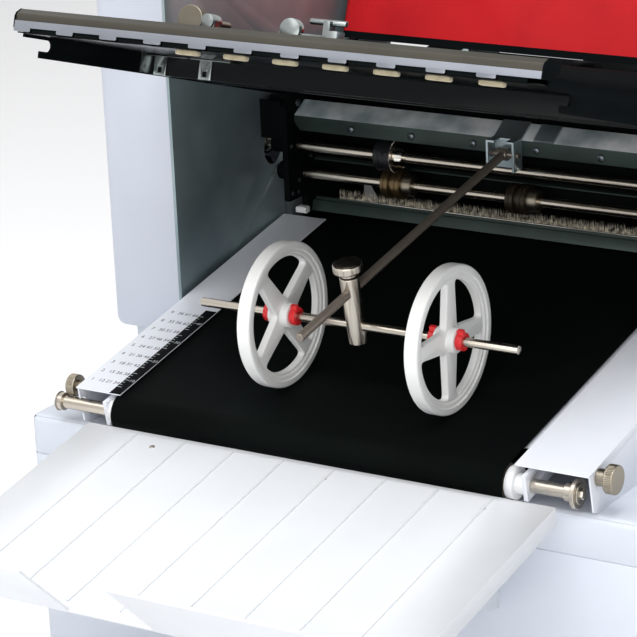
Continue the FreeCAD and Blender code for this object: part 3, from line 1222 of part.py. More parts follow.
# ---------------------------------------------------------------- catch tray
def catch_tray():
    """Tray with down-turned sides, ribs along its floor and a raised front lip with a hand notch."""
    half = TRAY_W / 2
    floor = box(-half, half, -TRAY_L, 0, -TRAY_T, 0)
    for side in (-1, 1):
        x0, x1 = sorted((side * half, side * (half - TRAY_T)))
        floor = floor.fuse(box(x0, x1, -TRAY_L, 0, -TRAY_SIDE_H, -TRAY_T))
    for k in range(RIB_COUNT):
        x = (k - (RIB_COUNT - 1) / 2) * RIB_PITCH
        floor = floor.fuse(box(x - RIB_W / 2, x + RIB_W / 2, -TRAY_L + 10, -6, 0, RIB_H))
    lip = box(-half, half, -LIP_L, 0, -TRAY_T, 0)
    corners = [e for e in edges_along(lip, V(0, 0, 1)) if e.CenterOfMass.y < -1]
    lip = lip.makeFillet(12.0, corners)
    lip = lip.cut(box(NOTCH_AT - NOTCH_W / 2, NOTCH_AT + NOTCH_W / 2, -LIP_L - 1, -4, -TRAY_T - 1, 1))
    lip.rotate(V(0, 0, 0), X_AXIS, -LIP_TILT - TRAY_PITCH)
    lip.translate(V(0, -TRAY_L, 0))
    shell = floor.fuse(lip).fuse(rod(-half, half, -TRAY_L, 0, TRAY_T))
    brackets = []
    a = math.radians(TRAY_PITCH)
    for side in (-1, 1):
        x = side * TRAY_BRACKET_X
        wall_y = FRONT
        under_y = TRAY_Y - TRAY_BRACKET_L * math.cos(a)
        under_z = TRAY_Z - TRAY_BRACKET_L * math.sin(a) - TRAY_T / math.cos(a)
        wall_z = TRAY_Z + (wall_y - TRAY_Y) * math.tan(a) - TRAY_T / math.cos(a)
        top_z = min(wall_z, BASE_TOP - BASE_ROUND - 1)
        back_z = TRAY_Z - TRAY_T / math.cos(a)
        brackets.append(prism([(wall_y, top_z - TRAY_BRACKET_H), (wall_y, top_z), (TRAY_Y, top_z),
                               (TRAY_Y, back_z), (under_y, under_z), (under_y, under_z - 12)],
                              x - TRAY_T, x + TRAY_T))
    return [on_tray(shell.removeSplitter())] + brackets


# ---------------------------------------------------------------- controls
def button_wells():
    return [(PANEL_X, PANEL_Y + START_Y, BUTTON_R), (PANEL_X, PANEL_Y + STOP_Y, BUTTON_R)]


def control_panel():
    """Keypad housing on top of the right side, with wells for the buttons and a bare display."""
    x0 = PANEL_X - PANEL_W / 2
    pad = box(x0, x0 + PANEL_W, PANEL_Y - PANEL_L / 4, PANEL_Y + PANEL_L * 3 / 4, HOUSING_TOP, PANEL_TOP)
    pad = pad.makeFillet(5.0, edges_along(pad, V(0, 0, 1)))
    for x, y, r in button_wells():
        pad = pad.cut(Part.makeCylinder(r + GAP, PANEL_T, V(x, y, HOUSING_TOP + 1)))
    pad = pad.cut(Part.makeCylinder(SPINDLE_R + FIT, PANEL_T, V(PANEL_X, PANEL_Y + DIAL_Y, HOUSING_TOP + 1)))
    window = box(PANEL_X - DISPLAY_W / 2, PANEL_X + DISPLAY_W / 2, PANEL_Y + DISPLAY_Y - DISPLAY_L / 2,
                 PANEL_Y + DISPLAY_Y + DISPLAY_L / 2, PANEL_TOP - 1, PANEL_TOP + 1)
    return pad.cut(window)


def push_button(index):
    x, y, r = button_wells()[index]
    low = HOUSING_TOP + 1 + GAP + BUTTON_TRAVEL
    cap = Part.makeCylinder(r, PANEL_TOP + BUTTON_H - low, V(x, y, low))
    crown = [e for e in cap.Edges if e.BoundBox.ZMin > PANEL_TOP + BUTTON_H - 0.1]
    return cap.makeFillet(1.2, crown)


def speed_dial():
    at = V(PANEL_X, PANEL_Y + DIAL_Y, PANEL_TOP + GAP)
    cap = Part.makeCone(DIAL_R, DIAL_R - 2, DIAL_H, at)
    mark = box(PANEL_X - 1, PANEL_X + 1, PANEL_Y + DIAL_Y + 4, PANEL_Y + DIAL_Y + DIAL_R - 3,
               PANEL_TOP + GAP + DIAL_H - 0.8, PANEL_TOP + GAP + DIAL_H + 1)
    stem = Part.makeCylinder(SPINDLE_R, PANEL_T - 1, V(PANEL_X, PANEL_Y + DIAL_Y, HOUSING_TOP + 1 + GAP))
    return cap.cut(mark).fuse(stem).removeSplitter()


def mains_inlet():
    """Appliance inlet and switch frame in the back of the base; no lead is attached."""
    y1 = BASE_D / 2 + 2.0
    w = INLET_W / 2 + 4
    h = INLET_H / 2 + 4
    plate = box(INLET_X - w, INLET_X + w, BASE_D / 2, y1, INLET_Z - h, INLET_Z + h)
    body = box(INLET_X - INLET_W / 2 + GAP, INLET_X + INLET_W / 2 - GAP, BASE_D / 2 - 24, BASE_D / 2,
               INLET_Z - INLET_H / 2 + GAP, INLET_Z + INLET_H / 2 - GAP)
    body = body.fuse(plate)
    low = INLET_Z - INLET_H / 2 + 3
    socket = box(INLET_X - 11, INLET_X + 11, BASE_D / 2 - 14, y1 + 1, low, low + 17)
    body = body.cut(socket)
    for x, z in ((-7, low + 5), (7, low + 5), (0, low + 12)):
        body = body.fuse(box(INLET_X + x - 1, INLET_X + x + 1, BASE_D / 2 - 14, BASE_D / 2 - 2, z - 2, z + 2))
    well = box(INLET_X - ROCKER_W / 2 - GAP, INLET_X + ROCKER_W / 2 + GAP, BASE_D / 2 - 16, y1 + 1,
               ROCKER_Z - ROCKER_R - 1.2, ROCKER_Z + ROCKER_R + 1.2)
    body = body.cut(well)
    pin_hole = rod(INLET_X - ROCKER_W / 2 - 1.8, INLET_X + ROCKER_W / 2 + 1.8, ROCKER_Y, ROCKER_Z, 1.5 + FIT)
    return body.cut(pin_hole).removeSplitter()


def power_rocker():
    """Rocker on a cross pin: a segment of a cylinder with a shallow V face."""
    x0 = INLET_X - ROCKER_W / 2
    x1 = INLET_X + ROCKER_W / 2
    face = BASE_D / 2 + 3.0
    outline = [(ROCKER_Y - 3, ROCKER_Z - 4), (ROCKER_Y - 3, ROCKER_Z + 4), (face, ROCKER_Z + ROCKER_R - 1.5),
               (face - 1.5, ROCKER_Z), (face, ROCKER_Z - ROCKER_R + 1.5)]
    pin = rod(x0 - 1.3, x1 + 1.3, ROCKER_Y, ROCKER_Z, 1.5)
    return prism(outline, x0, x1).fuse(pin).removeSplitter()


# ---------------------------------------------------------------- all the parts
def build():
    save("base_cabinet", *base_cabinet())
    save("base_feet", *base_feet())
    save("left_housing", housing(-1))
    save("right_housing", housing(1))
    save("side_plates", side_plate(-1), side_plate(1))
    save("roller_frames", *roller_frame(-1), *roller_frame(1))
    save("roller_bearings", *roller_bearings())
    save("frame_screws", *frame_screws())
    save("wheel_rail", wheel_rail())
    save("rod_bracket", *rod_bracket())
    save("exit_guides", *exit_guides())
    save("static_brush", static_brush())
    save("conveyor_frame", conveyor_frame())
    save("conveyor_belt", conveyor_belt())
    save("left_scale_plate", left_scale_plate())
    save("right_deck_plate", right_deck_plate())
    save("belt_bushes", *belt_bushes())
    save("front_roller", *front_roller())
    save("rear_roller", rear_roller())
    save("left_thumbscrew", side_thumbscrew(-1))
    save("right_thumbscrew", side_thumbscrew(1))
    for index in range(len(ROLLERS)):
        save("fold_roller_%d" % (index + 1), *fold_roller(index))
    save("tool_shaft_upper", tool_shaft_upper())
    save("tool_shaft_lower", tool_shaft_lower())
    save("perforating_blade", *perforating_blade())
    save("counter_collars", *counter_collars())
    save("stacker_rod", stacker_rod())
    save("stacker_post", stacker_post())
    save("wheel_shaft", wheel_shaft())
    save("post_knob", post_knob())
    save("left_wheel", wheel(LEFT_WHEEL_AT))
    save("right_wheel", wheel(RIGHT_WHEEL_AT))
    save("left_wheel_clips", *wheel_clips(LEFT_WHEEL_AT))
    save("right_wheel_clips", *wheel_clips(RIGHT_WHEEL_AT))
    save("fold_plate_arms", fold_plate_arm(-1), fold_plate_arm(1))
    save("fold_plate_sheets", *fold_plate_sheets())
    save("fold_plate_bar", fold_plate_bar())
    save("felt_pads", *felt_pads())
    save("plate_brackets", *plate_brackets())
    save("paper_stop", paper_stop())
    save("stop_knob", stop_knob())
    save("lower_fold_plate", *lower_fold_plate())
    save("feed_table", *feed_table())
    save("feed_roller", *feed_roller())
    save("left_guide", paper_guide(-1))
    save("right_guide", paper_guide(1))
    save("red_cover", red_cover())
    save("drive_motor", *drive_motor())
    save("motor_pulley", motor_pulley())
    save("drive_belts", *drive_belts())
    save("catch_tray", *catch_tray())
    save("control_panel", control_panel())
    save("start_button", push_button(0))
    save("stop_button", push_button(1))
    save("speed_dial", speed_dial())
    save("mains_inlet", mains_inlet())
    save("power_rocker", power_rocker())


build()
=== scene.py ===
import logging
import math
from abc import ABC, abstractmethod
from dataclasses import dataclass
from enum import Enum
from typing import Callable, Iterable, Optional, Sequence

import bmesh
import bpy
import numpy as np
from mathutils import Matrix, Vector


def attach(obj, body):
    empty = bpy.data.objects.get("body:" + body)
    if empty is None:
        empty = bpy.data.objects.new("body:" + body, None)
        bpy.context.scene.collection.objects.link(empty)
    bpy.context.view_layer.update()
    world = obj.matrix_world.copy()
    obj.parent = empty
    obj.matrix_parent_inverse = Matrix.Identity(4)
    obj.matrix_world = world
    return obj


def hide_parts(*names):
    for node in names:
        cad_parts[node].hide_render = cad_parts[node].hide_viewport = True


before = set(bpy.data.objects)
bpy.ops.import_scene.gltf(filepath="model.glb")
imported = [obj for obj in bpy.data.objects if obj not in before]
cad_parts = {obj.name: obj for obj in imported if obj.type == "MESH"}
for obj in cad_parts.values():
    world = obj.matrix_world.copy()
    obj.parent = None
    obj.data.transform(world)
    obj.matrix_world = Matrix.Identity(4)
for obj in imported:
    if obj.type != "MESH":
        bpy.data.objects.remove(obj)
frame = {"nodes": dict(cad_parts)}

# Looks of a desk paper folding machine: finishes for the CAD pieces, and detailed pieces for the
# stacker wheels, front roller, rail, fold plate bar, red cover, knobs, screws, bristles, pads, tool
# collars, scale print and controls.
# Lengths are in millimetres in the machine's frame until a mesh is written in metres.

LOG = logging.getLogger("paper_folder")
MM = 0.001
Array = np.ndarray


# ------------------------------------------------------------------------------- colour
def linear(hex_colour: str) -> tuple[float, float, float, float]:
    """Linear RGBA of an sRGB hex colour.

    Args:
        hex_colour: six hex digits, with or without a leading hash.

    Returns:
        Linear red, green, blue and an alpha of 1, by the sRGB transfer curve.
    """
    digits = hex_colour.lstrip("#")
    channels = [int(digits[i:i + 2], 16) / 255.0 for i in (0, 2, 4)]
    r, g, b = (c / 12.92 if c <= 0.04045 else ((c + 0.055) / 1.055) ** 2.4 for c in channels)
    return r, g, b, 1.0


# ------------------------------------------------------------------------------- frames
@dataclass(frozen=True)
class LocalFrame:
    """A right-handed frame in the machine, in millimetres."""

    origin: tuple[float, float, float]
    x: tuple[float, float, float]
    y: tuple[float, float, float]
    z: tuple[float, float, float]

    def world(self, points: Array) -> Array:
        """Points of this frame in the machine's frame: origin plus the three weighted axes."""
        basis = np.array([self.x, self.y, self.z], float)
        return np.asarray(points, float) @ basis + np.array(self.origin, float)

    def at(self, a: float, b: float, c: float) -> "LocalFrame":
        """The same axes, moved to the point (a, b, c) of this frame."""
        point = self.world(np.array([a, b, c], float))
        return LocalFrame(tuple(float(v) for v in point), self.x, self.y, self.z)

    def turned(self, order: str) -> "LocalFrame":
        """The same point, with this frame's axes taken in the given order, such as 'yzx'."""
        axes = {"x": self.x, "y": self.y, "z": self.z}
        return LocalFrame(self.origin, axes[order[0]], axes[order[1]], axes[order[2]])


def pitched(origin: tuple[float, float, float], degrees: float) -> LocalFrame:
    """A frame turned about X: y climbs by the given angle."""
    c, s = math.cos(math.radians(degrees)), math.sin(math.radians(degrees))
    return LocalFrame(origin, (1.0, 0.0, 0.0), (0.0, c, s), (0.0, -s, c))


MACHINE = LocalFrame((0.0, 0.0, 0.0), (1.0, 0.0, 0.0), (0.0, 1.0, 0.0), (0.0, 0.0, 1.0))
BELT = pitched((0.0, -304.0, 278.0), 10.8)
PLATE = pitched((0.0, -333.965, 588.348), -17.5)
TRAY = pitched((0.0, -322.0, 254.0), 10.0)


def across(x: float, y: float, z: float) -> LocalFrame:
    """A frame at a point of the machine whose z axis runs to the right, along X."""
    return MACHINE.at(x, y, z).turned("yzx")


def frontward(x: float, y: float, z: float) -> LocalFrame:
    """A frame at a point of the machine whose y axis runs up and whose z axis faces the front."""
    return LocalFrame((x, y, z), (1.0, 0.0, 0.0), (0.0, 0.0, 1.0), (0.0, -1.0, 0.0))


def leftward(place: LocalFrame) -> LocalFrame:
    """A frame at the same point whose z axis runs to the left and whose y axis is kept."""
    return LocalFrame(place.origin, place.z, place.y, (-1.0, 0.0, 0.0))


# ------------------------------------------------------------------------------- solids
@dataclass
class Solid:
    """Vertices in millimetres and faces as vertex index lists."""

    points: Array
    faces: list[tuple[int, ...]]

    def placed(self, place: LocalFrame) -> "Solid":
        """This solid with its own axes laid on those of place."""
        return Solid(place.world(self.points), self.faces)

    def shifted(self, x: float = 0.0, y: float = 0.0, z: float = 0.0) -> "Solid":
        """This solid moved in its own frame."""
        return Solid(self.points + np.array([x, y, z], float), self.faces)


def joined(solids: Iterable[Solid]) -> Solid:
    """One solid that holds all the given ones side by side.

    Args:
        solids: the solids to hold.

    Returns:
        The one solid.
    """
    points: list[Array] = []
    faces: list[tuple[int, ...]] = []
    count = 0
    for solid in solids:
        points.append(solid.points)
        faces.extend(tuple(i + count for i in face) for face in solid.faces)
        count += len(solid.points)
    return Solid(np.vstack(points), faces)


def copies(shape: Solid, places: Iterable[LocalFrame]) -> Solid:
    """One solid that holds the shape once at each place."""
    return joined(shape.placed(place) for place in places)


def rectangle(left: float, low: float, right: float, high: float) -> Array:
    """Corners of a rectangle, one per row, counterclockwise."""
    return np.array([[left, low], [right, low], [right, high], [left, high]])


Ripple = Callable[[Array, Array], Array]


def lathe(profile: Sequence[tuple[float, float]], segments: int = 96,
          ripple: Optional[Ripple] = None, closed: bool = False) -> Solid:
    """Surface of revolution about the local z axis.

    A point is (r cos t, r sin t, h), where (r, h) runs along the profile and t round the axis.
    With a ripple, r grows by ripple(t, h).

    Args:
        profile: radius and height pairs, from the lower end to the upper one.
        segments: number of steps round the axis.
        ripple: change of radius as a function of angle and height.
        closed: joins the last profile point to the first, for a ring with a bore.

    Returns:
        The closed solid.
    """
    shape = np.array(profile, float)
    angle = np.linspace(0.0, 2 * math.pi, segments, endpoint=False)
    t, r = np.meshgrid(angle, shape[:, 0], indexing="ij")
    h = np.broadcast_to(shape[:, 1], r.shape)
    if ripple is not None:
        r = r + ripple(t, h)
    grid = np.stack([r * np.cos(t), r * np.sin(t), h], axis=-1)
    n, m = r.shape
    points = grid.reshape(-1, 3)
    faces: list[tuple[int, ...]] = []
    for i in range(n):
        j = (i + 1) % n
        for k in range(m if closed else m - 1):
            q = (k + 1) % m
            faces.append((i * m + k, j * m + k, j * m + q, i * m + q))
    if not closed:
        faces.append(tuple(i * m for i in range(n))[::-1])
        faces.append(tuple(i * m + m - 1 for i in range(n)))
    return Solid(points, faces)


def rounded_profile(radius: float, low: float, high: float, edge: float, steps: int = 4
                    ) -> list[tuple[float, float]]:
    """Profile of a disc from low to high whose two rims are quarter circles of radius edge.

    Args:
        radius: outer radius.
        low: lower end.
        high: upper end.
        edge: radius of the rounded edges.
        steps: steps in each quarter circle.

    Returns:
        Radius and height pairs, from the lower end to the upper one.
    """
    arc = np.linspace(0.0, math.pi / 2, steps + 1)
    lower = [(radius - edge + edge * math.sin(a), low + edge - edge * math.cos(a)) for a in arc]
    upper = [(radius - edge + edge * math.cos(a), high - edge + edge * math.sin(a)) for a in arc]
    middle = [(radius, h) for h in np.linspace(low + edge, high - edge, 6)[1:-1]]
    return [(0.0, low)] + lower + middle + upper + [(0.0, high)]


def straight_knurl(count: int, depth: float, low: float, high: float) -> Ripple:
    """Straight knurl from low to high: depth times a sharpened cosine of count teeth.

    Args:
        count: number of grooves round the rim.
        depth: depth of a groove.
        low: lower end.
        high: upper end.

    Returns:
        Change of radius as a function of angle and height.
    """
    def ripple(t: Array, h: Array) -> Array:
        """Change of radius at angle t and height h."""
        tooth = np.abs(np.cos(0.5 * count * t)) ** 0.7 - 1.0
        return depth * tooth * ((h > low) & (h < high))
    return ripple


def diamond_knurl(count: int, depth: float, low: float, high: float, pitch: float) -> Ripple:
    """Diamond knurl: the deeper of two helical grooves that cross, count round the rim.

    Args:
        count: number of grooves round the rim.
        depth: depth of a groove.
        low: lower end.
        high: upper end.
        pitch: height over which the helical grooves repeat.

    Returns:
        Change of radius as a function of angle and height.
    """
    def ripple(t: Array, h: Array) -> Array:
        """Change of radius at angle t and height h."""
        a = np.abs(np.sin(0.5 * count * t + math.pi * h / pitch))
        b = np.abs(np.sin(0.5 * count * t - math.pi * h / pitch))
        return -depth * (1.0 - np.minimum(a, b)) * ((h > low) & (h < high))
    return ripple


def fine_profile(profile: Sequence[tuple[float, float]], step: float) -> list[tuple[float, float]]:
    """The same outline with points no further apart than step along it.

    Args:
        profile: radius and height pairs.
        step: longest distance between two points.

    Returns:
        The finer radius and height pairs.
    """
    made: list[tuple[float, float]] = []
    for (r0, h0), (r1, h1) in zip(profile, profile[1:]):
        parts = max(1, int(math.hypot(r1 - r0, h1 - h0) / step))
        made.extend((r0 + (r1 - r0) * k / parts, h0 + (h1 - h0) * k / parts) for k in range(parts))
    return made + [tuple(profile[-1])]


def screw_head(radius: float, height: float, slot: float, reach: float) -> Solid:
    """Pan head with a cross recess.

    The top is a polar height field: height times the square root of (1 - dome rho^2), minus the
    recess depth wherever a point lies in either arm of the cross.

    Args:
        radius: radius of the head.
        height: height of the head at its middle.
        slot: half the width of an arm of the cross.
        reach: half the length of an arm of the cross.

    Returns:
        The head, standing on the local xy plane.
    """
    dome, recess = 0.75, 0.6
    rings = np.concatenate([np.linspace(0.02, 0.72, 22), np.linspace(0.76, 1.0, 6)])
    turns = 72
    t = np.linspace(0.0, 2 * math.pi, turns, endpoint=False)
    rho, angle = np.meshgrid(rings, t, indexing="ij")
    x, y = radius * rho * np.cos(angle), radius * rho * np.sin(angle)
    arm = ((np.abs(x) < slot) & (np.abs(y) < reach)) | ((np.abs(y) < slot) & (np.abs(x) < reach))
    z = height * np.sqrt(1.0 - dome * rho ** 2) - arm * recess * height
    top = np.stack([x, y, z], -1).reshape(-1, 3)
    skirt = np.stack([radius * np.cos(t), radius * np.sin(t), np.zeros(turns)], -1)
    points = np.vstack([top, skirt, [[0.0, 0.0, (1.0 - recess) * height]]])
    faces: list[tuple[int, ...]] = []
    rows = len(rings)
    for i in range(rows):
        for k in range(turns):
            q = (k + 1) % turns
            faces.append((i * turns + k, (i + 1) * turns + k, (i + 1) * turns + q, i * turns + q))
    last = len(points) - 1
    faces.extend((last, k, (k + 1) % turns) for k in range(turns))
    faces.append(tuple(rows * turns + k for k in range(turns))[::-1])
    return Solid(points, faces)


def linked(name: str, data: bpy.types.ID) -> bpy.types.Object:
    """A new object of that name for the data, in the scene's collection.

    Args:
        name: the object's name.
        data: its mesh, curve, light or camera.

    Returns:
        The object.
    """
    made = bpy.data.objects.new(name, data)
    bpy.context.scene.collection.objects.link(made)
    return made


def from_curve(curve: bpy.types.Curve) -> Solid:
    """The mesh that a curve or text makes, read back as a solid, and the curve removed.

    Args:
        curve: the curve or text, which is removed.

    Returns:
        The solid.
    """
    holder = linked("curve_holder", curve)
    bpy.context.view_layer.update()
    depsgraph = bpy.context.evaluated_depsgraph_get()
    mesh = bpy.data.meshes.new_from_object(holder.evaluated_get(depsgraph))
    points = np.empty(len(mesh.vertices) * 3)
    mesh.vertices.foreach_get("co", points)
    faces = [tuple(p.vertices) for p in mesh.polygons]
    bpy.data.objects.remove(holder)
    bpy.data.curves.remove(curve)
    bpy.data.meshes.remove(mesh)
    return Solid(points.reshape(-1, 3), faces)


def cut_plate(outer: Array, holes: Sequence[Array], thickness: float, edge: float) -> Solid:
    """Flat plate in the local xy plane with holes and rounded edges, centred on z = 0.

    Args:
        outer: points of the outline, one per row.
        holes: outlines of the holes.
        thickness: thickness of the plate.
        edge: radius of the rounded edges.

    Returns:
        The plate.
    """
    curve = bpy.data.curves.new("outline", "CURVE")
    curve.dimensions = "2D"
    curve.fill_mode = "BOTH"
    curve.extrude = thickness / 2 - edge
    curve.bevel_depth = edge
    curve.bevel_resolution = 2
    curve.offset = -edge
    for loop in (outer, *holes):
        spline = curve.splines.new("POLY")
        spline.points.add(len(loop) - 1)
        flat = np.column_stack([loop, np.zeros(len(loop)), np.ones(len(loop))])
        spline.points.foreach_set("co", flat.ravel())
        spline.use_cyclic_u = True
    return from_curve(curve)


def glyphs(text: str, height: float) -> Solid:
    """Text 0.04 thick about the local xy plane, its left foot at the origin.

    Args:
        text: the characters.
        height: height of a digit.

    Returns:
        The flat text.
    """
    digit_share = 0.72
    curve = bpy.data.curves.new("glyphs", "FONT")
    curve.body = text
    curve.size = height / digit_share
    curve.resolution_u = 3
    curve.extrude = 0.02
    return from_curve(curve)


# ------------------------------------------------------------------------------- finishes
class Surface(Enum):
    """How the fine relief of a finish runs."""

    GRAINED = "grained"      # even small grain, as in paint and moulded plastic
    BRUSHED = "brushed"      # grain drawn out along one axis
    TURNED = "turned"        # fine rings across one axis
    SPANGLED = "spangled"    # crystal cells of zinc under a brushed film
    WOVEN = "woven"          # two crossed sets of threads
    FIBROUS = "fibrous"      # soft tangled fibres


@dataclass(frozen=True)
class Shade:
    """Painted shade that darkens a surface along a direction, between two places in millimetres."""

    colour: str
    axis: tuple[float, float, float]
    start_mm: float
    end_mm: float


@dataclass(frozen=True)
class Finish:
    """One real surface finish.

    Attributes:
        name: the material's name.
        surface: how its relief runs.
        colour: main sRGB colour.
        second: sRGB colour of its lighter or darker patches.
        rough: mean roughness.
        spread: how far the roughness wanders either side of the mean.
        metal: metallic share.
        grain_mm: size of the relief.
        relief_mm: height of the relief.
        patch_mm: size of the colour patches.
        patch: share of the second colour in a patch.
        axis: unit direction of brushing or turning.
        coat: clear coat weight.
        sheen: sheen weight.
        specular: specular level.
        shade: where painted shade darkens it, if anywhere.
    """

    name: str
    surface: Surface
    colour: str
    second: str
    rough: float
    spread: float = 0.05
    metal: float = 0.0
    grain_mm: float = 0.8
    relief_mm: float = 0.01
    patch_mm: float = 60.0
    patch: float = 0.5
    axis: tuple[float, float, float] = (1.0, 0.0, 0.0)
    coat: float = 0.0
    sheen: float = 0.0
    specular: float = 0.5
    shade: Optional[Shade] = None


def add(tree: bpy.types.NodeTree, kind: str, inputs: Optional[dict] = None, **settings
        ) -> bpy.types.Node:
    """Adds a shader node.

    Args:
        tree: the material's node tree.
        kind: node type without its ShaderNode prefix.
        inputs: input name or index to the output socket that feeds it, or to its constant.
        **settings: node properties, or constants for inputs of one word.

    Returns:
        The new node.
    """
    node = tree.nodes.new("ShaderNode" + kind)
    for key, value in settings.items():
        if hasattr(node, key):
            setattr(node, key, value)
        else:
            node.inputs[key].default_value = value
    for key, source in (inputs or {}).items():
        if isinstance(source, bpy.types.NodeSocket):
            tree.links.new(source, node.inputs[key])
        else:
            node.inputs[key].default_value = source
    return node


def empty_material(name: str) -> tuple[bpy.types.Material, bpy.types.NodeTree]:
    """A new material and its node tree, with no node in it.

    Args:
        name: the material's name.

    Returns:
        The material and its node tree.
    """
    material = bpy.data.materials.new(name)
    material.use_nodes = True
    material.node_tree.nodes.clear()
    return material, material.node_tree


class Painter:
    """Makes one node material for each finish and keeps it for reuse."""

    def __init__(self) -> None:
        """Starts with no material made."""
        self._made: dict[str, bpy.types.Material] = {}

    def material(self, finish: Finish) -> bpy.types.Material:
        """The material of a finish, built on first use.

        Args:
            finish: the finish.

        Returns:
            The material.
        """
        if finish.name not in self._made:
            self._made[finish.name] = self._build(finish)
        return self._made[finish.name]

    def _build(self, finish: Finish) -> bpy.types.Material:
        """Node material of a finish: colour patches, wandering roughness and a fine relief.

        Args:
            finish: the finish.

        Returns:
            The material.
        """
        material, tree = empty_material(finish.name)
        place = add(tree, "TexCoord").outputs["Object"]
        patch = add(tree, "TexNoise", {"Vector": place}, Scale=1000.0 / finish.patch_mm, Detail=3.0)
        share = add(tree, "MapRange", {"Value": patch.outputs["Fac"], "From Min": 0.35,
                                       "From Max": 0.68, "To Max": finish.patch})
        mixed = add(tree, "Mix", {"Factor": share.outputs["Result"], 6: linear(finish.colour),
                                  7: linear(finish.second)}, data_type="RGBA")
        colour = mixed.outputs[2]
        # Painted shade, for a finish that has one.
        if finish.shade is not None:
            colour = self._shaded(tree, finish.shade, place, colour)
        relief = self._relief(tree, finish, place)
        wander = add(tree, "MapRange", {"Value": relief,
                                        "To Min": max(0.02, finish.rough - finish.spread),
                                        "To Max": min(1.0, finish.rough + finish.spread)})
        bump = add(tree, "Bump", {"Height": relief, "Strength": 1.0,
                                  "Distance": finish.relief_mm * MM})
        shader = add(tree, "BsdfPrincipled", {
            "Base Color": colour, "Roughness": wander.outputs["Result"],
            "Normal": bump.outputs["Normal"], "Metallic": finish.metal,
            "Coat Weight": finish.coat, "Coat Roughness": 0.08, "Sheen Weight": finish.sheen,
            "Specular IOR Level": finish.specular})
        add(tree, "OutputMaterial", {"Surface": shader.outputs["BSDF"]})
        return material

    def _shaded(self, tree: bpy.types.NodeTree, shade: Shade, place: bpy.types.NodeSocket,
                colour: bpy.types.NodeSocket) -> bpy.types.NodeSocket:
        """Colour that goes over to the shade's colour as the place moves along its axis.

        Args:
            tree: the material's node tree.
            shade: colour and place of the darkening.
            place: socket of the point's Object coordinates.
            colour: socket of the clean colour.

        Returns:
            Socket of the darkened colour.
        """
        along = add(tree, "VectorMath", {0: place, 1: shade.axis}, operation="DOT_PRODUCT")
        share = add(tree, "MapRange", {"Value": along.outputs["Value"],
                                       "From Min": shade.start_mm * MM,
                                       "From Max": shade.end_mm * MM},
                    interpolation_type="SMOOTHSTEP")
        mixed = add(tree, "Mix", {"Factor": share.outputs["Result"], 6: colour,
                                  7: linear(shade.colour)}, data_type="RGBA")
        return mixed.outputs[2]

    def _relief(self, tree: bpy.types.NodeTree, finish: Finish, place: bpy.types.NodeSocket
                ) -> bpy.types.NodeSocket:
        """Output socket of the finish's height between 0 and 1.

        Args:
            tree: the material's node tree.
            finish: the finish.
            place: socket of the point's Object coordinates.

        Returns:
            Socket of the height.
        """
        scale = 1000.0 / finish.grain_mm
        if finish.surface is Surface.TURNED:
            along = add(tree, "VectorMath", {0: place, 1: finish.axis}, operation="DOT_PRODUCT")
            rings = add(tree, "TexNoise", {"W": along.outputs["Value"]}, noise_dimensions="1D",
                        Scale=scale, Detail=4.0)
            return rings.outputs["Fac"]
        if finish.surface is Surface.BRUSHED:
            stretch = [0.03 if abs(a) > 0.5 else 1.0 for a in finish.axis]
            drawn = add(tree, "VectorMath", {0: place, 1: stretch}, operation="MULTIPLY")
            return add(tree, "TexNoise", {"Vector": drawn.outputs["Vector"]}, Scale=scale,
                       Detail=5.0).outputs["Fac"]
        if finish.surface is Surface.SPANGLED:
            cells = add(tree, "TexVoronoi", {"Vector": place}, Scale=scale)
            film = add(tree, "TexNoise", {"Vector": place}, Scale=scale * 4.0, Detail=4.0)
            tone = add(tree, "SeparateColor", {"Color": cells.outputs["Color"]})
            return add(tree, "Mix", {2: tone.outputs["Red"], 3: film.outputs["Fac"]},
                       Factor=0.55).outputs[0]
        if finish.surface is Surface.WOVEN:
            warp, weft = (add(tree, "TexWave", {"Vector": place}, bands_direction=along,
                              Scale=scale * 0.16, Distortion=0.4) for along in ("X", "Y"))
            return add(tree, "Math", {0: warp.outputs["Fac"], 1: weft.outputs["Fac"]},
                       operation="MULTIPLY").outputs["Value"]
        detail = 8.0 if finish.surface is Surface.FIBROUS else 2.5
        return add(tree, "TexNoise", {"Vector": place}, Scale=scale, Detail=detail,
                   Roughness=0.7 if finish.surface is Surface.FIBROUS else 0.5).outputs["Fac"]


BELT_SIDE = (0.0, 0.9823, 0.1874)
BELT_UP = (0.0, -0.1874, 0.9823)

# Painted steel. Powder paint shows a fine orange peel, drawn 1.1 mm wide so that it catches light.
HOUSING_PAINT = Finish("housing_powder_paint", Surface.GRAINED, "CACFDA", "C4C9D4", 0.42,
                       grain_mm=1.1, relief_mm=0.02)
BASE_PAINT = Finish("base_powder_paint", Surface.GRAINED, "D6DBE5", "D0D6E0", 0.45, grain_mm=1.1,
                    relief_mm=0.02)
# Stoved enamel on the deck: smoother than powder, so it reflects a soft streak of the lamps.
DECK_PAINT = Finish("deck_white_enamel", Surface.GRAINED, "ECEFF6", "E4E8F0", 0.32, grain_mm=1.6,
                    relief_mm=0.008)
TRAY_PAINT = Finish("tray_grey_paint", Surface.GRAINED, "E4E7EB", "DDE0E5", 0.4, grain_mm=1.2,
                    relief_mm=0.015)
# Zinc plate: cool grey metal whose crystals, about 5 mm across, turn the light by a hair each.
ZINC = Finish("zinc_plated_sheet", Surface.SPANGLED, "B4C2C6", "8FA0A6", 0.34, 0.08, 0.7, 5.0,
              0.004, 45.0, 0.8)
# The rail's top flange: zinc drawn nearly white between grey crystals, a painted highlight of the
# light it catches. It is drawn without metal, so that it keeps that light from every side.
ZINC_PAINTED_HIGHLIGHT = Finish("zinc_flange_painted_highlight", Surface.SPANGLED, "FBFEFF", "8C9EA2", 0.32, 0.08, 0.0,
                     5.0, 0.004, 44.0, 1.0)
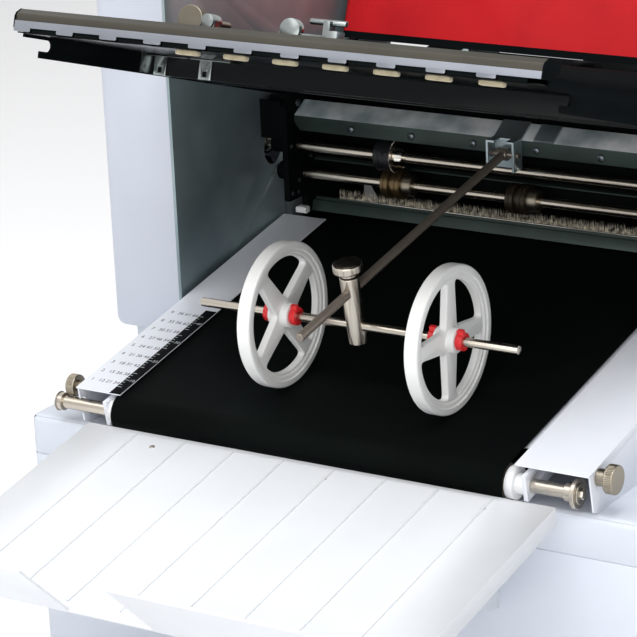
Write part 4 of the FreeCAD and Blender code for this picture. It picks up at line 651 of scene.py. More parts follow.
# Passivated side plates: a dull grey-green film, with painted shade low and back, near the rollers.
ZINC_DARK = Finish("passivated_zinc_sheet", Surface.SPANGLED, "A3B4B7", "708287", 0.38, 0.08, 0.45,
                   6.0, 0.004, 130.0, 0.9, shade=Shade("050607", (0.0, 0.8, -0.6), -190.0, -50.0))
# Zinc strips deep in the machine: painted shade, nearly black with a green cast.
ZINC_PAINTED_SHADE = Finish("zinc_strip_painted_shade", Surface.SPANGLED, "36433F", "28322F", 0.4, 0.08, 0.3, 6.0,
                   0.004, 60.0, 0.8, specular=0.3)
# Black oxide and satin paint: nearly no diffuse light, a soft gloss along the edges.
BLACK_FRAME = Finish("black_oxide_frame", Surface.GRAINED, "101314", "0A0C0D", 0.55, 0.08, 0.0, 0.9,
                     0.01, specular=0.01)
BLACK_SATIN = Finish("black_satin_paint", Surface.GRAINED, "111516", "0B0E0F", 0.5, 0.06, 0.0, 1.3,
                     0.01, specular=0.005)
# Enamel on the fold plate's sheets: poured smooth, so it mirrors faintly, in waves drawn 9 mm long.
BLACK_ENAMEL = Finish("black_enamel_sheet", Surface.GRAINED, "0D1112", "090C0D", 0.2, 0.04, 0.0,
                      9.0, 0.003, specular=0.1)
# Ground and turned steel: fine rings, drawn 0.7 mm apart, stretch the highlight along the axis.
SHAFT = Finish("ground_shaft_steel", Surface.TURNED, "C4BCB0", "ABA195", 0.24, 0.07, 1.0, 0.7,
               0.004)
ROD_STEEL = Finish("ground_rod_steel", Surface.TURNED, "8C8278", "766C62", 0.3, 0.07, 0.55, 0.7,
                   0.004, axis=BELT_SIDE)
POST_STEEL = Finish("turned_post_steel", Surface.TURNED, "C6BEB2", "ADA497", 0.22, 0.06, 1.0, 0.6,
                    0.004, axis=BELT_UP)
DULL_KNOB = Finish("brushed_nickel_knob", Surface.TURNED, "A39B8C", "857D6F", 0.34, 0.06, 1.0, 0.8,
                   0.004)
SCREW = Finish("plated_screw_steel", Surface.GRAINED, "B9B4AA", "8F8A80", 0.3, 0.1, 1.0, 0.7, 0.006)
# Screws of the frames: the same plate drawn darker, which leaves only a thin ring of light.
SCREW_DARK = Finish("darkened_screw_steel", Surface.TURNED, "6E7478", "454B4F", 0.36, 0.06, 0.9, 0.8,
                    0.004)
# Plated parts: chrome mirrors sharply, nickel is greyer and warmer, and a worn knurl scatters it.
CHROME = Finish("polished_chrome", Surface.GRAINED, "E3E0D8", "CFCBC2", 0.1, 0.03, 1.0, 3.0, 0.001)
NICKEL = Finish("nickel_plated_bracket", Surface.GRAINED, "989E9D", "6D7474", 0.24, 0.06, 1.0, 2.4,
                0.002)
STOP_NICKEL = Finish("worn_knurled_nickel", Surface.TURNED, "7F796C", "5F5A50", 0.34, 0.06, 1.0,
                     0.8, 0.006)
# Turned bronze: brown metal with fine tool marks.
BRONZE = Finish("turned_bronze_collar", Surface.TURNED, "7D6A4C", "5B4B33", 0.34, 0.06, 0.9, 0.7,
                0.006)
# The same bronze drawn nearly black, with a brown glint at the rims.
BRONZE_DARK = Finish("darkened_bronze", Surface.TURNED, "3A3226", "241F18", 0.42, 0.08, 0.6, 0.8,
                     0.004)
# Coated belt fabric: the weave is drawn 1.2 mm wide, and a rubber skin leaves only a dull sheen.
BELT_RUBBER = Finish("black_belt_fabric", Surface.WOVEN, "0E1211", "0A0D0C", 0.5, 0.08, 0.0, 1.2,
                     0.02, 120.0, 0.7, specular=0.006)
ROLLER_RUBBER = Finish("black_roller_rubber", Surface.GRAINED, "131516", "0E1011", 0.6, 0.08, 0.0,
                       0.7, 0.02, specular=0.02)
# Moulded plastics: a spark-eroded mould leaves a fine even grain and a broad soft highlight.
SOFT_BLACK = Finish("black_moulded_plastic", Surface.GRAINED, "17191B", "101214", 0.45, 0.06, 0.0,
                    0.8, 0.02, specular=0.35)
WHEEL_PLASTIC = Finish("light_grey_moulded_wheel", Surface.GRAINED, "F0F0EE", "E6E6E4", 0.4, 0.05,
                       0.0, 1.0, 0.012)
NYLON = Finish("white_nylon", Surface.GRAINED, "EDEEEE", "E2E4E4", 0.4, 0.05, 0.0, 1.0, 0.008)
RED_CLIP = Finish("red_moulded_clip", Surface.GRAINED, "E0282C", "C81F26", 0.32, 0.05, 0.0, 1.0,
                  0.01)
# Cast acrylic: dyed through and polished, with a clear gloss over it.
RED_COVER = Finish("red_acrylic_cover", Surface.GRAINED, "CB2126", "B01820", 0.22, 0.04, 0.0, 9.0,
                   0.004, specular=0.12, coat=0.03)
# Extruded bar: anodised, with die lines along its length.
BAR = Finish("bronze_anodised_bar", Surface.BRUSHED, "45423B", "38352F", 0.36, 0.06, 0.55, 0.5,
             0.004, specular=0.3)
# The bar's front strip: the same anodised bar drawn light grey, a painted highlight on its front
# face.
BAR_PAINTED_HIGHLIGHT = Finish("bar_face_painted_highlight", Surface.BRUSHED, "92969E", "7B7F89", 0.3, 0.06, 0.85,
                   0.5, 0.004)
FELT = Finish("beige_felt", Surface.FIBROUS, "B9AF93", "978C6F", 0.95, 0.03, 0.0, 1.4, 0.3, 6.0,
              0.7, sheen=0.3)
# Carbon and tinsel bristle: dark hairs among near-white flecks, which are painted glints, in tufts
# about 2 mm wide.
BRISTLE = Finish("bristle_with_painted_glints", Surface.FIBROUS, "FFF4DC", "0C0B0A", 0.4, 0.12, 0.0, 0.5, 0.02,
                 4.5, 1.0)
RUBBER_FOOT = Finish("black_rubber", Surface.GRAINED, "1B1C1D", "131415", 0.75, 0.05, 0.0, 1.0,
                     0.03)
PRINT = Finish("printed_ink", Surface.GRAINED, "22252E", "1C1F28", 0.6, 0.05, 0.0, 0.6, 0.001)
WHITE_PRINT = Finish("white_printed_ink", Surface.GRAINED, "B9C0C2", "A4ABAD", 0.6, 0.05, 0.0, 0.6,
                     0.001)
TAPE = Finish("black_scale_tape", Surface.GRAINED, "0E1112", "0A0D0E", 0.5, 0.05, 0.0, 1.0, 0.004,
              specular=0.02)
PANEL = Finish("panel_moulded_plastic", Surface.GRAINED, "2B2F36", "23272D", 0.45, 0.05, 0.0, 0.7,
               0.02)
GREEN = Finish("green_button_plastic", Surface.GRAINED, "2FA05A", "27894C", 0.3, 0.04, 0.0, 1.5,
               0.006)
RED_BUTTON = Finish("red_button_plastic", Surface.GRAINED, "C62A2A", "AE2222", 0.3, 0.04, 0.0, 1.5,
                    0.006)
DISPLAY = Finish("smoked_display_window", Surface.GRAINED, "12201E", "0E1918", 0.08, 0.02, 0.0, 8.0,
                 0.0005, coat=1.0)


# ------------------------------------------------------------------------------- workshop
class Workshop:
    """Turns solids into finished Blender pieces and finishes the CAD nodes."""

    def __init__(self, painter: Painter, nodes: dict[str, bpy.types.Object]) -> None:
        """Keeps the painter and the CAD nodes by name."""
        self.painter = painter
        self.nodes = nodes

    def piece(self, name: str, solid: Solid, finish: Finish, body: str,
              replaces: Sequence[str] = (), crease: float = 32.0) -> bpy.types.Object:
        """Makes a piece that rides on a body.

        Args:
            name: the piece's name.
            solid: its shape in the machine's frame, in millimetres.
            finish: its finish.
            body: the body it moves with.
            replaces: CAD nodes that it stands for.
            crease: edges sharper than this angle, in degrees, stay sharp.

        Returns:
            The object.
        """
        mesh = bpy.data.meshes.new(name)
        mesh.from_pydata((solid.points * MM).tolist(), [], solid.faces)
        work = bmesh.new()
        work.from_mesh(mesh)
        bmesh.ops.remove_doubles(work, verts=work.verts, dist=1e-7)
        bmesh.ops.recalc_face_normals(work, faces=work.faces)
        limit = math.radians(crease)
        for face in work.faces:
            face.smooth = True
        for edge in work.edges:
            edge.smooth = len(edge.link_faces) == 2 and edge.calc_face_angle(0.0) < limit
        work.to_mesh(mesh)
        work.free()
        mesh.materials.append(self.painter.material(finish))
        made = linked(name, mesh)
        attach(made, body)
        if replaces:
            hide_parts(*replaces)
        LOG.info("piece %s rides on %s, %d faces", name, body, len(mesh.polygons))
        return made

    def dress(self, node: str, finish: Finish, edge_mm: float = 0.35) -> None:
        """Gives a CAD node its finish, welds its seams and breaks its sharp edges.

        Args:
            node: name of the CAD node.
            finish: the finish.
            edge_mm: width of the broken edges, or 0 for none.
        """
        target = self.nodes[node]
        target.data.materials.clear()
        target.data.materials.append(self.painter.material(finish))
        weld = target.modifiers.new("weld", "WELD")
        weld.merge_threshold = 1e-5
        if edge_mm > 0.0:
            flat = target.modifiers.new("dissolve", "DECIMATE")
            flat.decimate_type = "DISSOLVE"
            flat.angle_limit = math.radians(0.4)
            bevel = target.modifiers.new("broken_edges", "BEVEL")
            bevel.width = edge_mm * MM
            bevel.segments = 2
            bevel.limit_method = "ANGLE"
            bevel.angle_limit = math.radians(35.0)
            bevel.use_clamp_overlap = True
            bevel.harden_normals = True
        target.data.shade_smooth()


class SubAssembly(ABC):
    """A group of pieces that are built and dressed together."""

    def finishes(self) -> dict[str, Finish]:
        """The finish of each CAD node that keeps its own shape."""
        return {}

    def plain_edges(self) -> dict[str, float]:
        """Width in millimetres of the broken edges of the nodes that differ from the usual 0.35."""
        return {}

    def dress(self, shop: Workshop) -> None:
        """Dresses the sub-assembly's CAD nodes.

        Args:
            shop: the workshop that makes the pieces.
        """
        edges = self.plain_edges()
        for node, finish in self.finishes().items():
            shop.dress(node, finish, edges.get(node, 0.35))
        LOG.info("%s: %d nodes dressed", type(self).__name__, len(self.finishes()))

    @abstractmethod
    def build(self, shop: Workshop) -> None:
        """Builds the sub-assembly's own pieces."""


# ------------------------------------------------------------------------------- stacker
@dataclass(frozen=True)
class StackerWheels(SubAssembly):
    """Two wheels on a cross shaft, the post and the rod that carry them. Sizes in millimetres."""

    radius: float = 65.0
    tread: float = 13.0
    rim: float = 10.0
    web: float = 7.0
    hub: float = 11.0
    hub_length: float = 20.0
    bore: float = 4.05
    spoke_half: float = 6.5
    along: float = 71.0
    lift: float = 65.3
    middle: float = 4.3
    left_at: float = -75.0
    right_at: float = 91.0
    left_turned: float = -17.0
    right_turned: float = 32.0
    post_top: float = 113.0
    stem_low: float = 102.9
    knob_radius: float = 13.0
    knob_gap: float = 5.0
    knob_height: float = 8.0

    def finishes(self) -> dict[str, Finish]:
        """Steel rod, post and shaft, and red clips."""
        return {"stacker_rod": ROD_STEEL, "stacker_post": POST_STEEL, "wheel_shaft": SHAFT,
                "left_wheel_clips": RED_CLIP, "right_wheel_clips": RED_CLIP}

    def window(self, quarter: float) -> Array:
        """Outline of one opening between two spokes.

        Two spoke edges meet near the hub and an arc of radius reach closes them under the rim; all
        corners are rounded by a running Hann average along the closed line.

        Args:
            quarter: quarter turns from the local x axis, whole or not.

        Returns:
            Points of the closed outline, one per row.
        """
        reach = self.radius - self.rim - 3.0
        spread = math.radians(45.0) - math.asin(self.spoke_half / reach)
        apex = (self.spoke_half + 1.0) * math.sqrt(2.0) + 3.0
        arc = np.linspace(-spread, spread, 40)
        outer = np.column_stack([reach * np.cos(arc), reach * np.sin(arc)])
        raw = np.vstack([outer, [[apex, 0.0]], outer[:1]])
        along = np.concatenate([[0.0], np.cumsum(np.hypot(*np.diff(raw, axis=0).T))])
        even = np.linspace(0.0, along[-1], 180, endpoint=False)
        dense = np.column_stack([np.interp(even, along, raw[:, k]) for k in range(2)])
        width = 19
        kernel = np.hanning(width + 2)[1:-1]
        kernel /= kernel.sum()
        wrapped = np.vstack([dense[-width:], dense, dense[:width]])
        smooth = np.column_stack([np.convolve(wrapped[:, k], kernel, "same") for k in range(2)])
        turn = math.radians(90.0 * quarter)
        c, s = math.cos(turn), math.sin(turn)
        return smooth[width:-width] @ np.array([[c, s], [-s, c]])

    def moulding(self, turned: float) -> Solid:
        """Wheel about the local z axis: a stepped rim ring, a web with four openings and a hub.

        The ring and the hub are profiles of radius against height turned round the axis; the web is
        a flat plate with rounded edges.

        Args:
            turned: how far the openings are turned round the axis, in degrees.

        Returns:
            The wheel as one solid.
        """
        inner = self.radius - self.rim
        half = self.tread / 2
        edge = 2.0
        arc = np.linspace(0.0, math.pi / 2, 6)
        right = [(self.radius - edge + edge * math.cos(a),
                  half - edge + edge * math.sin(a)) for a in arc]
        step = [(inner + 4.1, half), (inner + 3.6, half - 0.5), (inner + 3.5, half - 1.5),
                (inner + 0.6, half - 1.6), (inner, half - 2.2), (inner - 1.0, self.web / 2 - 0.3),
                (inner - 3.0, self.web / 2 - 1.2)]
        upper = right + step
        lower = [(r, -h) for r, h in reversed(upper)]
        crown = [(self.radius, h) for h in (-2.2, 0.0, 2.2)]
        ring = lathe(lower + crown + upper, 160, closed=True)
        turn = np.linspace(0.0, 2 * math.pi, 160, endpoint=False)
        rim = inner - 0.6
        outline = np.column_stack([rim * np.cos(turn), rim * np.sin(turn)])
        web = cut_plate(outline, [self.window(q + turned / 90.0) for q in range(4)], self.web, 1.2)
        length = self.hub_length / 2
        flank = [(self.hub + 0.8, self.web / 2 - 0.2), (self.hub, self.web / 2 + 1.0),
                 (self.hub, length - 1.0), (self.hub - 1.0, length), (self.bore, length)]
        hub = lathe([(r, -h) for r, h in reversed(flank)] + flank, 72, closed=True)
        return joined([ring, web, hub])

    def knob(self) -> Solid:
        """Flat knob of the post: a threaded stem, a neck and a disc with rounded rims.

        Returns:
            The knob about the local z axis.
        """
        low = self.post_top + self.knob_gap
        high, foot, neck = low + self.knob_height, self.stem_low, self.post_top + 1.0
        stem = lathe([(0.0, foot), (2.6, foot), (3.0, foot + 0.5), (3.0, neck), (7.0, neck),
                      (7.0, low), (0.0, low)], 48)
        disc = lathe(rounded_profile(self.knob_radius, low, high, 1.6, 6), 128)
        inset = self.knob_radius - 2.8
        face = lathe([(0.0, high - 0.4), (inset, high - 0.4), (inset, high + 0.1),
                      (inset - 0.2, high + 0.2), (0.0, high + 0.2)], 64)
        return joined([stem, disc, face])

    def build(self, shop: Workshop) -> None:
        """Builds both wheels and the post's knob.

        Args:
            shop: the workshop that makes the pieces.
        """
        for side, at, turned in (("left", self.left_at, self.left_turned),
                                 ("right", self.right_at, self.right_turned)):
            shape = self.moulding(turned)
            place = BELT.at(self.middle + at, self.along, self.lift).turned("yzx")
            shop.piece(side + "_wheel_moulding", shape.placed(place), WHEEL_PLASTIC,
                       side + "_wheel", [side + "_wheel"], 40.0)
        shop.piece("post_knob_turned", self.knob().placed(BELT.at(self.middle, self.along, 0.0)),
                   POST_STEEL, "post_knob", ["post_knob"])


# ------------------------------------------------------------------------------- conveyor
@dataclass(frozen=True)
class Conveyor(SubAssembly):
    """Belt, deck plates, rollers and the two knurled side screws. Sizes in millimetres."""

    left_face: float = -257.0
    right_face: float = 258.0
    knob_out: float = 9.0
    knob_teeth: int = 46
    left_knob_radius: float = 10.2
    right_knob_radius: float = 12.5
    knob_along: float = 12.0
    knob_drop: float = -6.5
    axle_drop: float = -18.0
    axle_right_end: float = 246.0
    axle_left_end: float = -280.4
    axle_radius: float = 6.0
    core_radius: float = 15.7
    core_left: float = -210.0
    core_right: float = 180.0
    collar_length: float = 5.0
    tape_left: float = -220.0
    tape_right: float = -208.1
    tape_front: float = -3.8
    tape_back: float = 157.0
    deck_top: float = 2.2
    number_at: tuple[float, float] = (-252.0, 12.0)
    number_pitch: tuple[float, float] = (8.2, 16.4)
    number_height: float = 4.7
    tick_group: float = 37.0
    tick_pitch: float = 4.2

    def finishes(self) -> dict[str, Finish]:
        """Enamelled decks, coated belt, steel rollers and white bushes."""
        return {"conveyor_frame": DECK_PAINT, "conveyor_belt": BELT_RUBBER,
                "left_scale_plate": DECK_PAINT, "right_deck_plate": DECK_PAINT,
                "belt_bushes": NYLON, "rear_roller": SHAFT}

    def plain_edges(self) -> dict[str, float]:
        """The belt keeps its round nose."""
        return {"conveyor_belt": 0.0}

    def thumbscrew(self, radius: float) -> Solid:
        """Knurled screw along the local z axis: head with a dished face, neck and threaded stem.

        The head is a disc whose radius falls between the teeth of a straight knurl.

        Args:
            radius: outer radius.

        Returns:
            The screw as one solid.
        """
        out = self.knob_out
        head = lathe(fine_profile(rounded_profile(radius, out, out + 9.0, 1.2), 0.5), 240,
                     straight_knurl(self.knob_teeth, 0.55, out + 1.2, out + 7.8))
        dish = lathe([(0.0, out + 8.2), (radius - 3.2, out + 8.2), (radius - 2.6, out + 8.99),
                      (0.0, out + 8.99)], 64)
        stem = lathe([(0.0, -12.0), (2.4, -12.0), (3.0, -11.2), (3.0, 0.4), (radius - 5.0, 0.4),
                      (radius - 5.0, out), (0.0, out)], 48)
        return joined([head, dish, stem])

    def build_screws(self, shop: Workshop) -> None:
        """The knurled screws at both sides, and the bolts in the ends of the front axle.

        Args:
            shop: the workshop that makes the pieces.
        """
        for side, face, radius in (("left", self.left_face, self.left_knob_radius),
                                   ("right", self.right_face, self.right_knob_radius)):
            place = BELT.at(face, self.knob_along, self.knob_drop)
            axes = place.turned("yzx") if side == "right" else leftward(place)
            shop.piece(side + "_thumbscrew_knurled", self.thumbscrew(radius).placed(axes),
                       DULL_KNOB, side + "_thumbscrew", [side + "_thumbscrew"])
        washer = lathe([(0.0, 0.0), (8.6, 0.0), (9.0, 0.4), (9.0, 1.0), (8.6, 1.4), (0.0, 1.4)], 64)
        bolt = lathe([(0.0, 1.4), (4.6, 1.4), (4.6, 3.6), (4.2, 4.2), (0.0, 4.2)], 6)
        right = BELT.at(self.axle_right_end, 0.0, self.axle_drop).turned("yzx")
        left = leftward(BELT.at(self.axle_left_end, 0.0, self.axle_drop))
        shop.piece("axle_end_bolts", copies(joined([washer, bolt]), (right, left)), SCREW,
                   "front_roller")

    def build_front_roller(self, shop: Workshop) -> None:
        """Front roller, turned from one profile: collar, axle, core, boss and disc.

        Args:
            shop: the workshop that makes the pieces.
        """
        axle, core = self.axle_radius, self.core_radius
        left, end = self.axle_left_end, self.axle_right_end
        collar, start, stop = left + self.collar_length, self.core_left, self.core_right
        profile = [(0.0, left), (7.8, left), (8.2, left + 0.4), (8.2, left + 4.6), (7.8, collar),
                   (axle, collar), (axle, start - 0.5), (core - 0.5, start - 0.5), (core, start),
                   (core, stop - 0.5), (core - 0.5, stop), (axle, stop), (axle, end - 12.0),
                   (7.6, end - 12.0), (8.0, end - 11.6), (8.0, end - 4.0), (12.5, end - 4.0),
                   (13.0, end - 3.5), (13.0, end - 0.5), (12.5, end), (0.0, end)]
        axis = BELT.at(0.0, 0.0, self.axle_drop).turned("yzx")
        shop.piece("front_roller_turned", lathe(profile, 96).placed(axis), SHAFT, "front_roller",
                   ["front_roller"])

    def build_scale(self, shop: Workshop) -> None:
        """Black tape with white ticks along the belt, and plain numbers on the white plate.

        Args:
            shop: the workshop that makes the pieces.
        """
        low, high, front = self.tape_left, self.tape_right, self.tape_front
        half = 0.5 * (high - low)
        tape = cut_plate(rectangle(-half, 0.0, half, self.tape_back - front), [], 0.16, 0.03)
        place = BELT.at(0.5 * (low + high), front, self.deck_top + 0.08)
        shop.piece("scale_tape", tape.placed(place), TAPE, "frame")
        numbers = []
        for row in range(9):
            values = (row + 1, 12 + 3 * row, 21 + 5 * row, 34 + 4 * row)
            for column, value in enumerate(values):
                x = self.number_at[0] + self.number_pitch[0] * column
                y = self.number_at[1] + self.number_pitch[1] * row
                digits = glyphs(str(value), self.number_height)
                numbers.append(digits.placed(BELT.at(x, y, self.deck_top + 0.03)))
        shop.piece("scale_numbers", joined(numbers), PRINT, "frame")
        face = self.deck_top + 0.19
        cube = Solid(np.array([[0, 0, 0], [1, 0, 0], [1, 1, 0], [0, 1, 0],
                               [0, 0, 1], [1, 0, 1], [1, 1, 1], [0, 1, 1]], float),
                     [(3, 2, 1, 0), (4, 5, 6, 7), (0, 1, 5, 4), (1, 2, 6, 5), (2, 3, 7, 6),
                      (3, 0, 4, 7)])
        marks = []
        for group in range(4):
            start = 8.0 + self.tick_group * group
            for k in range(7):
                long = 4.6 if k % 3 == 0 else 2.6
                tick = Solid(cube.points * np.array([long, 0.8, 0.05]), cube.faces)
                marks.append(tick.placed(BELT.at(low + 0.6, start + self.tick_pitch * k,
                                                 face - 0.02)))
            marks.append(glyphs(str(10 * (group + 1)), 4.0).placed(
                BELT.at(low + 5.6, start + 11.0, face)))
        shop.piece("scale_ticks", joined(marks), WHITE_PRINT, "frame")

    def build(self, shop: Workshop) -> None:
        """Builds the screws, bolts, the front roller and the printed scale.

        Args:
            shop: the workshop that makes the pieces.
        """
        self.build_screws(shop)
        self.build_front_roller(shop)
        self.build_scale(shop)


# ------------------------------------------------------------------------------- roller frames
@dataclass(frozen=True)
class RollerFrames(SubAssembly):
    """Bearing frames, rollers, rail, guides and their screws. Sizes in millimetres."""

    inner: float = 231.0
    rail_y: float = 32.985
    rail_z: float = 438.324
    rail_height: float = 14.5
    rail_sheet: float = 1.5
    rail_top: tuple[float, float] = (20.0, 11.5)
    rail_screw_z: float = 444.57
    rail_screw_first: float = 167.0
    rail_screws: int = 6
    clip_at: tuple[float, float] = (45.6, 354.6)
    standoffs: tuple[tuple[float, float], ...] = ((39.9, 463.86), (148.3, 429.94), (89.7, 322.02),
                                                  (148.3, 322.02))
    small_screws: tuple[tuple[float, float], ...] = ((24.8, 423.3), (59.9, 405.5), (36.5, 386.5),
                                                     (24.0, 376.2), (34.4, 375.4))

    def finishes(self) -> dict[str, Finish]:
        """Zinc side plates, bracket and guides, black frames, rollers and motor."""
        return {"side_plates": ZINC_DARK, "roller_frames": BLACK_FRAME,
                "roller_bearings": BLACK_FRAME, "rod_bracket": ZINC, "exit_guides": ZINC_PAINTED_SHADE,
                "fold_roller_1": ROLLER_RUBBER, "fold_roller_2": ROLLER_RUBBER,
                "fold_roller_3": ROLLER_RUBBER, "fold_roller_4": ROLLER_RUBBER,
                "drive_motor": BLACK_FRAME, "motor_pulley": SCREW, "drive_belts": ROLLER_RUBBER}

    def plain_edges(self) -> dict[str, float]:
        """Round rollers and belts need no broken edges."""
        return {"drive_belts": 0.0, "fold_roller_1": 0.0, "fold_roller_2": 0.0,
                "fold_roller_3": 0.0, "fold_roller_4": 0.0}

    def build_rail(self, shop: Workshop) -> None:
        """The rail: front flange with clipped corners, painted shade; sloped top flange, painted
        highlight.

        Args:
            shop: the workshop that makes the pieces.
        """
        w, h, sheet = self.inner, self.rail_height, self.rail_sheet
        outline = np.array([[-w + 6.0, 0.0], [w - 6.0, 0.0], [w, 7.5], [w, h], [-w, h], [-w, 7.5]])
        front = frontward(0.0, self.rail_y + sheet / 2, self.rail_z)
        # The front flange is drawn in painted shade.
        shop.piece("rail_front_flange", cut_plate(outline, [], sheet, 0.25).placed(front),
                   ZINC_PAINTED_SHADE, "frame", ["wheel_rail"])
        depth, rise = self.rail_top
        reach = math.hypot(depth, rise)
        c, s = depth / reach, rise / reach
        slope = LocalFrame((0.0, self.rail_y + sheet / 2 * s, self.rail_z + h - sheet / 2 * c),
                           (1.0, 0.0, 0.0), (0.0, c, s), (0.0, -s, c))
        top = cut_plate(rectangle(-w, 0.4, w, reach), [], sheet, 0.25)
        # The top flange is drawn in painted highlight.
        shop.piece("rail_top_flange", top.placed(slope), ZINC_PAINTED_HIGHLIGHT, "frame")

    def build(self, shop: Workshop) -> None:
        """Pan head screws on standoffs and rail, small screws on the frames, and cable clips.

        Args:
            shop: the workshop that makes the pieces.
        """
        head = screw_head(3.5, 2.3, 0.5, 1.9)
        small = screw_head(2.1, 1.3, 0.35, 1.2)
        placed = []
        for side in (-1.0, 1.0):
            for shape, places in ((head, self.standoffs), (small, self.small_screws)):
                for y, z in places:
                    placed.append(shape.placed(LocalFrame((side * self.inner, y, z),
                                                          (0.0, 0.0, 1.0), (0.0, side, 0.0),
                                                          (-side, 0.0, 0.0))))
        step = 2 * self.rail_screw_first / (self.rail_screws - 1)
        placed.append(copies(head, [frontward(k * step - self.rail_screw_first, self.rail_y,
                                              self.rail_screw_z) for k in range(self.rail_screws)]))
        shop.piece("cross_head_screws", joined(placed), SCREW_DARK, "frame",
                   ["frame_screws"])
        self.build_rail(shop)
        outline = np.array([[-6.0, -3.0], [6.0, -3.0], [6.0, 1.8], [4.4, 3.0], [-4.4, 3.0],
                            [-6.0, 1.8]])
        clips = copies(cut_plate(outline, [], 7.9, 0.6),
                       [frontward(side * (self.inner + 3.0), *self.clip_at) for side in (-1.0,
                                                                                         1.0)])
        shop.piece("cable_clips", clips, NYLON, "frame")


# ------------------------------------------------------------------------------- tool shafts
@dataclass(frozen=True)
class ToolShafts(SubAssembly):
    """Perforating clamp, blade and chrome collar above, grooved collars below. Sizes in mm."""

    upper: tuple[float, float] = (40.585, 421.224)
    lower: tuple[float, float] = (49.685, 390.924)
    clamp_at: float = -140.0
    collars_at: tuple[float, float] = (-139.0, -3.0)
    bore: float = 5.02
    blade_middle: float = 18.5
    tooth_depth: float = 0.8

    def finishes(self) -> dict[str, Finish]:
        """Ground shafts."""
        return {"tool_shaft_upper": SHAFT, "tool_shaft_lower": SHAFT}

    def axis(self, x: float, at: tuple[float, float]) -> LocalFrame:
        """Frame on a shaft whose z axis runs to the right along it."""
        return across(x, *at)

    def build(self, shop: Workshop) -> None:
        """Rings turned from profiles of radius against length; the blade's rim has square teeth.

        Args:
            shop: the workshop that makes the pieces.
        """
        bore = self.bore
        upper = self.axis(self.clamp_at, self.upper)
        clamp = lathe([(bore, 0.0), (14.2, 0.0), (15.0, 0.8), (15.0, 5.6), (14.3, 6.3), (14.3, 7.3),
                       (15.0, 8.0), (15.0, 17.2), (14.2, 18.0), (bore, 18.0)], 96, closed=True)
        screw = screw_head(2.6, 1.2, 0.5, 1.6)
        low = LocalFrame((self.clamp_at + 12.6, self.upper[0] - 14.95 * 0.94,
                          self.upper[1] + 14.95 * 0.34),
                         (1.0, 0.0, 0.0), (0.0, 0.34, 0.94), (0.0, -0.94, 0.34))
        shop.piece("blade_clamp", joined([clamp.placed(upper), screw.shifted(z=-0.5).placed(low)]),
                   SOFT_BLACK, "tool_upper", ["perforating_blade"])

        def teeth(t: Array, h: Array) -> Array:
            """Square teeth, sixty round the rim, on the blade's sharp edge alone."""
            edge = np.abs(h - self.blade_middle) < 0.2
            return -self.tooth_depth * (np.sin(60 * t) > 0.0) * edge
        blade = lathe([(bore, 18.05), (15.0, 18.05), (15.8, 18.4), (15.8, 18.6), (15.0, 18.95),
                       (bore, 18.95)], 240, teeth, closed=True)
        shop.piece("perforating_blade_edge", blade.placed(upper), SHAFT, "tool_upper")
        chrome = lathe([(bore, 19.0), (9.7, 19.0), (10.5, 19.8), (10.5, 28.2), (9.7, 29.0),
                        (bore, 29.0)],
                       96, closed=True)
        shop.piece("chrome_collar", chrome.placed(upper), CHROME, "tool_upper")
        outline = [(bore, 0.0), (13.7, 0.0), (14.5, 0.8), (14.5, 3.4), (13.9, 3.8), (13.9, 4.6),
                   (14.5, 5.0), (14.5, 8.0), (14.1, 8.4), (11.5, 8.4), (11.5, 12.6), (14.1, 12.6),
                   (14.5, 13.0), (14.5, 16.0), (13.9, 16.4), (13.9, 17.2), (14.5, 17.6),
                   (14.5, 20.2), (13.7, 21.0), (bore, 21.0)]
        hub = [(bore, 21.05), (10.5, 21.05), (10.5, 30.2), (9.7, 31.0), (bore, 31.0)]
        places = [self.axis(x, self.lower) for x in self.collars_at]
        left, right = (lathe(outline, 96, closed=True).placed(place) for place in places)
        hubs = copies(lathe(hub, 96, closed=True), places)
        shop.piece("grooved_collar_left", left, BRONZE, "tool_lower",
                   ["counter_collars"])
        shop.piece("grooved_collar_right", right, BRONZE_DARK, "tool_lower")
        shop.piece("collar_hubs", hubs, DULL_KNOB, "tool_lower")


